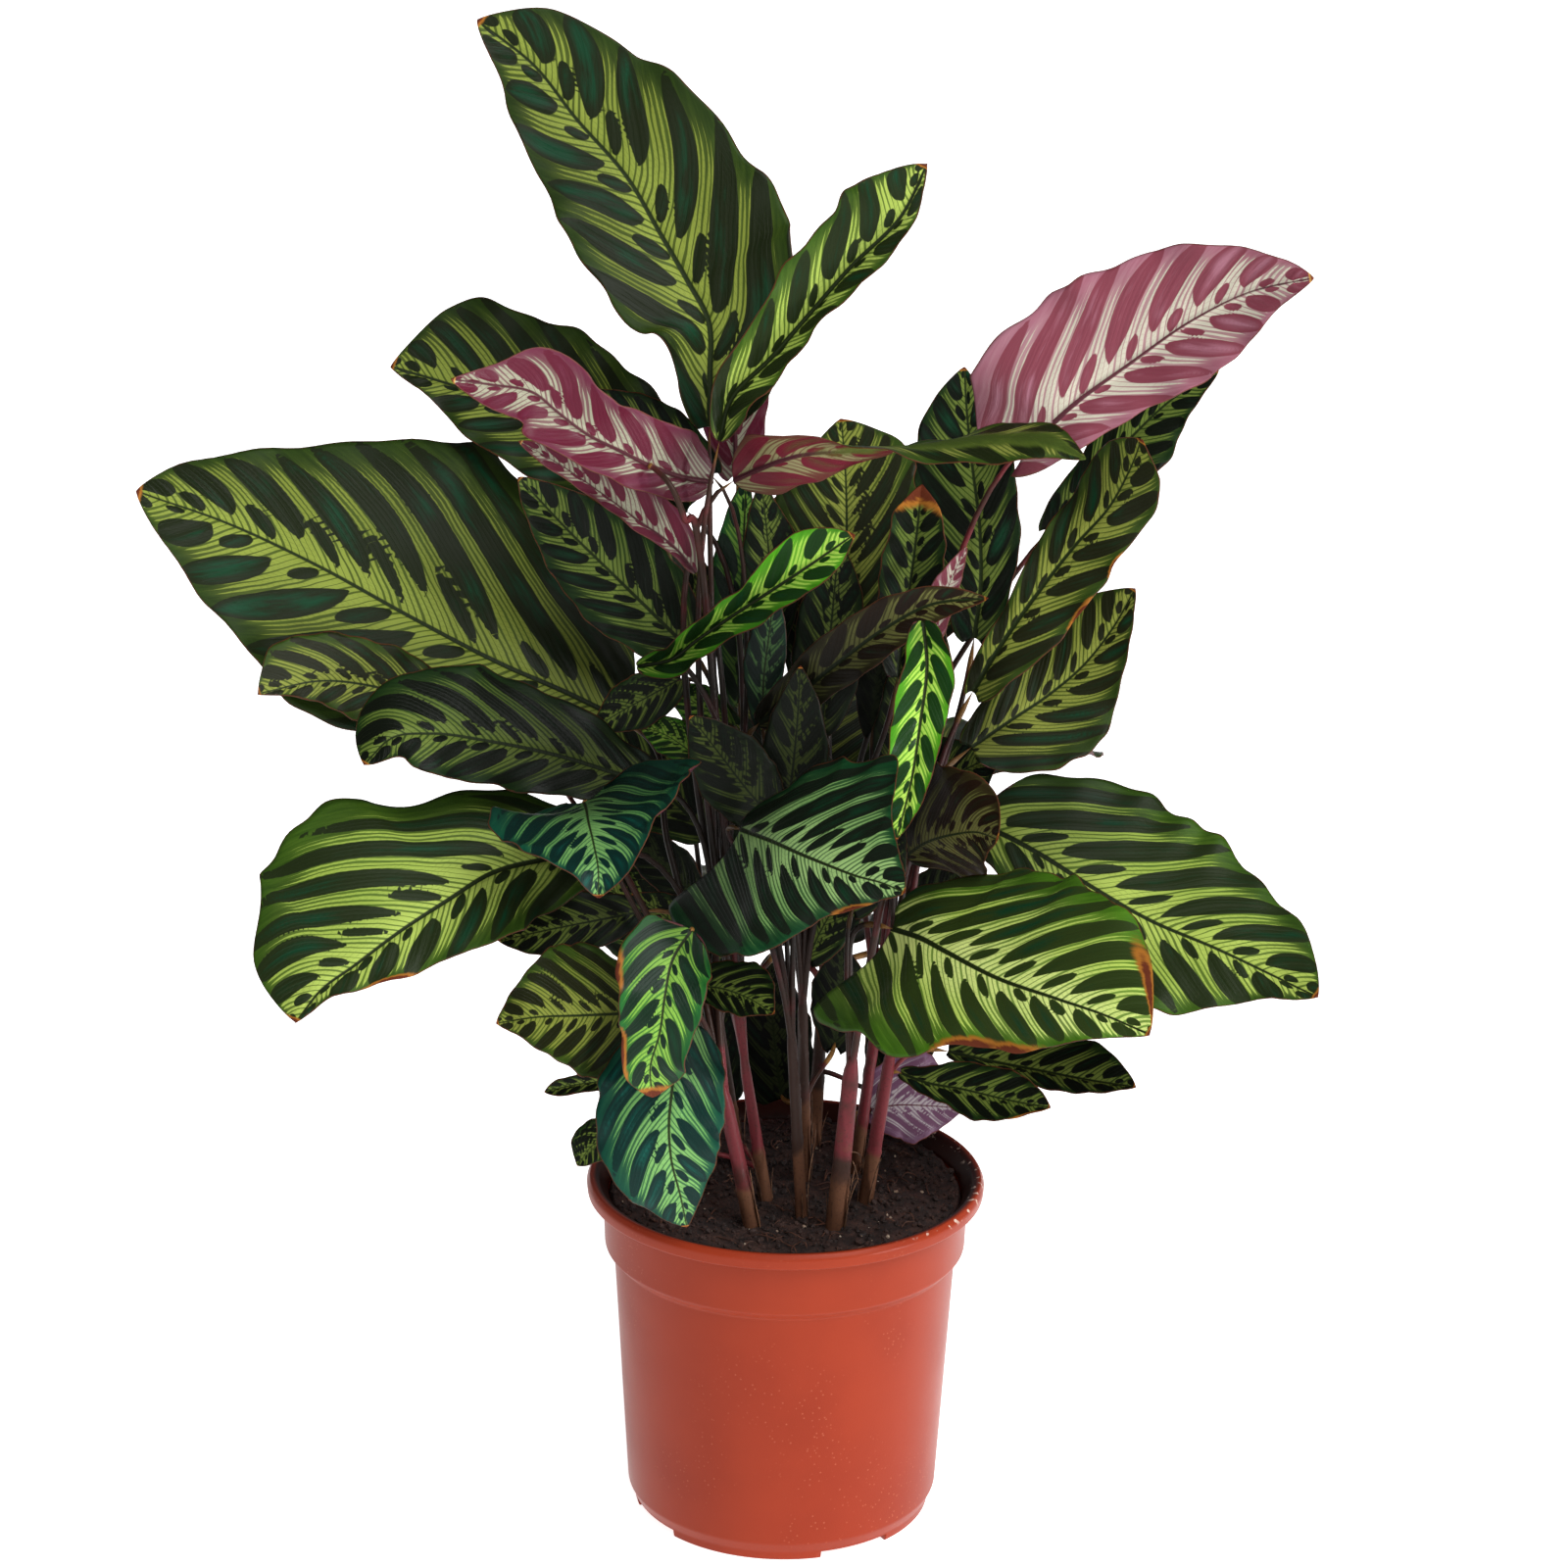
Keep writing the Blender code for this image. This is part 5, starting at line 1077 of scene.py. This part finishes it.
# Finishes
def shade(red, green, blue):
    """A colour given as picture values from 0 to 255, as light."""
    values = [v / 255 for v in (red, green, blue)]
    return (*[((v + 0.055) / 1.055) ** 2.4 if v > 10 / 255 else v / 12.92 for v in values], 1)


def connect(tree, value, socket):
    if isinstance(value, bpy.types.NodeSocket):
        tree.links.new(value, socket)
    else:
        socket.default_value = value


def node(tree, kind, inputs=(), **settings):
    made = tree.nodes.new("ShaderNode" + kind)
    for key, value in settings.items():
        setattr(made, key, value)
    for key, value in dict(inputs).items():
        connect(tree, value, made.inputs[key])
    return made


class Effect:
    """A node group that gives a surface its colour, roughness and height. Its calls add the nodes."""

    def __init__(self, name, colours):
        self.tree = bpy.data.node_groups.new(name, "ShaderNodeTree")
        for key in colours:
            self.tree.interface.new_socket(name=key, in_out="INPUT", socket_type="NodeSocketColor")
        for key, kind in (("Colour", "Color"), ("Roughness", "Float"), ("Height", "Float")):
            self.tree.interface.new_socket(name=key, in_out="OUTPUT", socket_type="NodeSocket" + kind)
        self.colour = self.tree.nodes.new("NodeGroupInput").outputs
        self.result = self.tree.nodes.new("NodeGroupOutput").inputs

    def give(self, colour, roughness, height):
        for key, value in (("Colour", colour), ("Roughness", roughness), ("Height", height)):
            connect(self.tree, value, self.result[key])
        return self.tree

    def calc(self, operation, *values):
        made = node(self.tree, "Math", operation=operation)
        for value, socket in zip(values, made.inputs):
            connect(self.tree, value, socket)
        return made.outputs[0]

    def add(self, first, second):
        return self.calc("ADD", first, second)

    def less(self, first, second):
        return self.calc("SUBTRACT", first, second)

    def times(self, first, second):
        return self.calc("MULTIPLY", first, second)

    def blend(self, value, factor, onto):
        """The value times the factor, added onto another value."""
        return self.calc("MULTIPLY_ADD", value, factor, onto)

    def step(self, value, low, high, least=0.0, most=1.0):
        """A value that goes softly from least to most as its input goes from low to high."""
        made = node(self.tree, "MapRange", {0: value, 1: low, 2: high, 3: least, 4: most},
                    interpolation_type="SMOOTHSTEP")
        return made.outputs[0]

    def over(self, share, under, above):
        made = node(self.tree, "Mix", {0: share, 6: under, 7: above}, data_type="RGBA")
        return made.outputs[2]

    def read(self, name):
        return node(self.tree, "Attribute", attribute_name=name).outputs["Fac"]

    def own_place(self):
        return node(self.tree, "TexCoord").outputs["Object"]

    def grain(self, scale, detail=2.0, rough=0.5, place=None):
        vector = self.own_place() if place is None else place
        inputs = {"Vector": vector, "Scale": scale, "Detail": detail, "Roughness": rough}
        return node(self.tree, "TexNoise", inputs).outputs["Fac"]

    def grain_along(self, vein, across, detail=2.0, rough=0.5):
        """Grain that is stretched along the side veins."""
        place = node(self.tree, "CombineXYZ", {0: vein, 1: across, 2: 0.0}).outputs[0]
        return self.grain(1.0, detail, rough, place)

    def off_middle(self, value):
        """How far a value that runs from 0 to 1 lies from its middle."""
        return self.calc("ABSOLUTE", self.less(value, 0.5))


@functools.cache
def blade_marks():
    """The markings of both faces of a blade: blotches, fine veins, margin, midrib, edge and scorching, with
    painted sheen and painted shade.
    """
    inputs = ("Field", "Pale", "Blotch", "Sheen", "Margin", "Midrib", "Edge", "Halo", "Scorched")
    g = Effect("blade_marks", inputs)
    vein, out, rim, share = g.read("vein"), g.read("out"), g.read("rim"), g.read("share")
    blotch, scorch = g.read("blotch"), g.read("scorch")
    drift = g.grain_along(g.times(vein, 0.12), g.times(out, 0.06))
    streak = g.less(g.grain_along(g.times(vein, 0.8), g.times(out, 0.09), 3.0, 0.6), 0.5)
    broad = g.less(g.grain(26.0), 0.5)

    # Fine veins, with ladder rungs between them, that merge toward the margin
    wavy = g.blend(g.less(drift, 0.5), 1.6, vein)
    row = g.calc("FLOOR", g.add(wavy, 0.5))
    chance = node(g.tree, "TexWhiteNoise", {"W": row}, noise_dimensions="1D").outputs["Value"]
    across_line = g.times(g.off_middle(g.calc("FRACT", wavy)), 2.0)
    fade = g.step(g.blend(broad, 0.3, g.blend(streak, 0.45, share)), 0.56, 0.98)
    level = g.blend(fade, -0.9, g.step(share, 0.1, 0.55, 0.72, 0.52))
    level = g.blend(chance, 0.4, g.less(level, 0.2))
    line = g.step(g.less(across_line, level), -0.12, 0.12)
    rung = g.off_middle(g.calc("FRACT", g.blend(chance, 7.0, g.times(out, 0.6))))
    rung = g.times(g.step(rung, 0.41, 0.48), g.step(drift, 0.35, 0.55))
    near_midrib = g.blend(broad, 1.2, g.step(g.calc("ABSOLUTE", out), 24.0, 1.0, 0.0, 0.8))
    shown = g.over(near_midrib, g.colour["Field"], g.colour["Pale"])
    veined = g.calc("MAXIMUM", g.times(line, g.blend(fade, 0.22, 0.78)), g.times(rung, 0.38))
    patchy = g.step(g.add(broad, streak), -0.3, 0.3, 0.0, 0.5)
    shown = g.over(veined, shown, g.over(patchy, g.colour["Margin"], g.colour["Blotch"]))

    # Blotches, then the midrib, the edge, the painted shade inside the crown and the scorched places
    in_blotch = g.step(g.blend(streak, 1.4, blotch), -0.3, 0.3)
    # Painted sheen: patches deep in the large blotches take the Sheen colour as a highlight
    glint = g.times(g.step(blotch, 1.0, 7.0), g.step(g.blend(streak, 0.7, broad), -0.06, 0.22))
    shown = g.over(in_blotch, shown, g.over(glint, g.colour["Blotch"], g.colour["Sheen"]))
    shown = g.over(g.step(g.read("beside"), 0.3, -0.2), shown, g.colour["Midrib"])
    shown = g.over(g.step(g.blend(streak, 1.2, rim), 0.55, 0.15), shown, g.colour["Edge"])
    # Painted shade: blades turn near-black deep in the crown and toward their shaded base
    shown = g.over(g.times(g.read("painted_shade"), PAINTED_SHADE_DEPTH), shown, (0.0025, 0.0035, 0.002, 1))
    burnt = g.blend(streak, 0.5, g.blend(broad, 0.6, scorch))
    shown = g.over(g.step(burnt, 0.22, 0.5), shown, g.colour["Halo"])
    shown = g.over(g.step(burnt, 0.5, 0.68), shown, g.colour["Scorched"])
    rough = g.blend(in_blotch, -0.06, g.blend(broad, 0.25, 0.42))
    rough = g.calc("MAXIMUM", rough, g.step(burnt, 0.4, 0.6, 0.0, 0.75))
    height = g.blend(line, -0.6, g.times(g.grain(1400.0), 0.5))
    return g.give(shown, rough, g.blend(rung, -0.25, height))


def new_finish(name, group, colours, **numbers):
    """A material whose colour, roughness and relief come from a group, and its plain numbers from here."""
    made = bpy.data.materials.new(name)
    made.use_nodes = True
    tree = made.node_tree
    shader = tree.nodes["Principled BSDF"]
    source = node(tree, "Group", node_tree=group)
    for key, value in colours.items():
        source.inputs[key].default_value = shade(*value)
    bump = {"Height": source.outputs["Height"], "Strength": numbers.pop("strength", 0.4),
            "Distance": numbers.pop("depth", 0.3) * MM}
    connect(tree, source.outputs["Colour"], shader.inputs["Base Color"])
    connect(tree, source.outputs["Roughness"], shader.inputs["Roughness"])
    connect(tree, node(tree, "Bump", bump).outputs["Normal"], shader.inputs["Normal"])
    for key, value in numbers.items():
        shader.inputs[key.replace("_", " ")].default_value = value
    return made


@functools.cache
def blade_finish(face, tone):
    """The upper face or the underside of a blade, in one of its tones."""
    tones = dict(zip(("Field", "Pale", "Blotch", "Margin"), TONE_COLOURS[face][tone]))
    colours = {"Sheen": tones["Margin"]} | FACE_COLOURS[face] | tones | OWN_COLOURS.get((face, tone), {})
    gloss = TONE_GLOSS.get(tone, FACE_GLOSS[face])
    return new_finish(face + "_" + tone, blade_marks(), colours, Specular_IOR_Level=gloss)


@functools.cache
def stalk_finish():
    colours = {"Dry": (92, 60, 42), "Fresh": (98, 35, 40), "Dark": (50, 32, 25), "Neck": (122, 86, 42)}
    g = Effect("stalk_skin", colours)
    age = g.read("age")
    broad = g.less(g.grain(60.0, 3.0), 0.5)
    spots = g.grain(900.0)
    blush = g.blend(broad, 2.0, g.read("blush"))
    shown = g.over(g.step(blush, 0.2, 0.75), g.colour["Dark"], g.colour["Fresh"])
    shown = g.over(g.step(g.blend(broad, 1.5, age), 0.25, 0.6), shown, g.colour["Dry"])
    shown = g.over(g.step(age, -0.15, -0.75), shown, g.colour["Neck"])
    shown = g.over(g.step(spots, 0.56, 0.7, 0.0, 0.5), shown, g.colour["Dark"])
    # Painted shade: stalks turn near-black deep in the crown
    shown = g.over(g.times(g.read("painted_shade"), PAINTED_SHADE_DEPTH), shown, (0.004, 0.0035, 0.0025, 1))
    ridges = g.calc("SINE", g.times(g.read("place"), 2.2))
    tree = g.give(shown, g.step(age, 0.1, 0.7, 0.4, 0.75), g.blend(ridges, 0.15, spots))
    return new_finish("stalk_skin", tree, colours, Specular_IOR_Level=0.15)


def pot_finish():
    """Moulded plastic with faint wear and dust, near-black inside its rim and pale crust at one side of it.
    """
    colours = {"Body": (142, 50, 27), "Worn": (130, 43, 23), "Dust": (168, 92, 66), "Earth": (24, 14, 11),
               "Crust": (206, 186, 170)}
    g = Effect("moulded_terracotta", colours)
    fine, broad = g.grain(1500.0, 3.0), g.grain(22.0, 4.0)
    dots = node(g.tree, "TexVoronoi", {"Vector": g.own_place(), "Scale": 420.0}).outputs["Distance"]
    x, y, z = node(g.tree, "SeparateXYZ", {0: g.own_place()}).outputs
    shown = g.over(g.step(broad, 0.3, 0.75, 0.0, 0.7), g.colour["Body"], g.colour["Worn"])
    dusty = g.times(g.step(dots, 0.22, 0.1), g.step(broad, 0.45, 0.62, 0.0, 0.5))
    shown = g.over(dusty, shown, g.colour["Dust"])
    # Near-black on the inner wall above the soil and the inner edge of the rim's top
    far = g.blend(broad, 0.002, g.calc("SQRT", g.add(g.times(x, x), g.times(y, y))))
    darker_inside_rim = g.times(g.step(far, 0.0838, 0.0818, 0.0, 0.94), g.step(z, 0.142, 0.144))
    shown = g.over(darker_inside_rim, shown, g.colour["Earth"])
    crusted = g.times(g.step(z, 0.147, 0.1505), g.step(g.grain(300.0, 3.0), 0.6, 0.66))
    shown = g.over(g.times(crusted, g.step(x, 0.04, 0.07)), shown, g.colour["Crust"])
    rough = g.step(g.add(broad, g.times(fine, 0.3)), 0.3, 1.0, 0.28, 0.4)
    tree = g.give(shown, rough, g.blend(broad, 0.6, fine))
    return new_finish("moulded_terracotta", tree, colours, strength=0.12, Specular_IOR_Level=0.12)


@functools.cache
def soil_finish():
    colours = {"Dark": (32, 20, 17), "Brown": (60, 38, 31), "Rust": (108, 66, 46)}
    g = Effect("damp_soil", colours)
    broad, fine = g.grain(90.0, 4.0, 0.7), g.grain(900.0, 3.0, 0.7)
    shown = g.over(g.step(broad, 0.4, 0.65), g.colour["Dark"], g.colour["Brown"])
    shown = g.over(g.step(fine, 0.58, 0.72, 0.0, 0.8), shown, g.colour["Rust"])
    tree = g.give(shown, g.step(fine, 0.3, 0.7, 0.6, 0.95), g.add(fine, broad))
    return new_finish("damp_soil", tree, colours, strength=0.9, depth=0.6)


def mottled(name, first, second, rough):
    """A finish of two colours in soft patches."""
    g = Effect(name, ("First", "Second"))
    broad = g.grain(250.0, 3.0)
    shown = g.over(g.step(broad, 0.35, 0.65), g.colour["First"], g.colour["Second"])
    tree = g.give(shown, g.step(broad, 0.3, 0.7, rough - 0.1, rough), broad)
    return new_finish(name, tree, {"First": first, "Second": second})


def floor_finish():
    """White paper, lit a little from behind so that it stays white between the lamps."""
    made = mottled("pale_paper", (250, 250, 250), (248, 248, 248), 0.9)
    shader = made.node_tree.nodes["Principled BSDF"]
    shader.inputs["Emission Color"].default_value = (1, 1, 1, 1)
    shader.inputs["Emission Strength"].default_value = FLOOR_GLOW
    return made


# Studio
def make_studio():
    """A camera at the viewpoint, soft lights and a plain pale floor."""
    scene = bpy.context.scene
    camera = bpy.data.objects.new("camera", bpy.data.cameras.new("camera"))
    camera.data.lens = VIEW_LENS
    camera.data.sensor_width = 36.0
    camera.data.clip_end = 100.0
    tilt = Matrix.Rotation(math.radians(90 - VIEW_TILT), 4, "X")
    roll = Matrix.Rotation(math.radians(VIEW_ROLL), 4, "Z")
    camera.matrix_world = Matrix.Translation(Vector(VIEWPOINT) * MM) @ (tilt @ roll)
    scene.collection.objects.link(camera)
    scene.camera = camera
    scene.view_settings.view_transform = "Standard"
    sun = bpy.data.lights.new("key_light", "SUN")
    sun.energy = KEY_STRENGTH
    sun.angle = math.radians(KEY_SPREAD)
    key = bpy.data.objects.new("key_light", sun)
    key.rotation_euler = Vector(KEY_DIRECTION).to_track_quat("-Z", "Y").to_euler()
    scene.collection.objects.link(key)
    soft_light("side_light", (1.6, -0.92, 0.22), (0.0, 0.0, 0.1), (0.14, 0.42), 18)
    soft_light("front_light", (-0.2, -2.0, 1.3), (0.0, 0.0, 0.35), (0.8, 0.8), 6)
    world_look = bpy.data.worlds.new("studio")
    world_look.use_nodes = True
    world_look.node_tree.nodes["Background"].inputs["Color"].default_value = (1, 1, 1, 1)
    world_look.node_tree.nodes["Background"].inputs["Strength"].default_value = WORLD_STRENGTH
    scene.world = world_look
    bm = bmesh.new()
    bmesh.ops.create_grid(bm, x_segments=2, y_segments=2, size=FLOOR_SIZE)
    floor = bpy.data.objects.new("floor", smooth_mesh(bm, "floor"))
    floor.data.materials.append(floor_finish())
    scene.collection.objects.link(floor)


def soft_light(name, place, aim, size, power):
    lamp = bpy.data.lights.new(name, "AREA")
    lamp.shape = "RECTANGLE"
    lamp.size, lamp.size_y = size
    lamp.energy = power
    made = bpy.data.objects.new(name, lamp)
    made.location = place
    made.rotation_euler = (Vector(aim) - Vector(place)).to_track_quat("-Z", "Y").to_euler()
    bpy.context.scene.collection.objects.link(made)


def main():
    make_studio()
    make_pot()
    make_soil()
    make_crumbs()
    make_fibres()
    make_scraps()
    for stem in STEMS:
        make_stem(stem)
    for name, plan in LEAVES.items():
        make_blade(name, plan)


main()
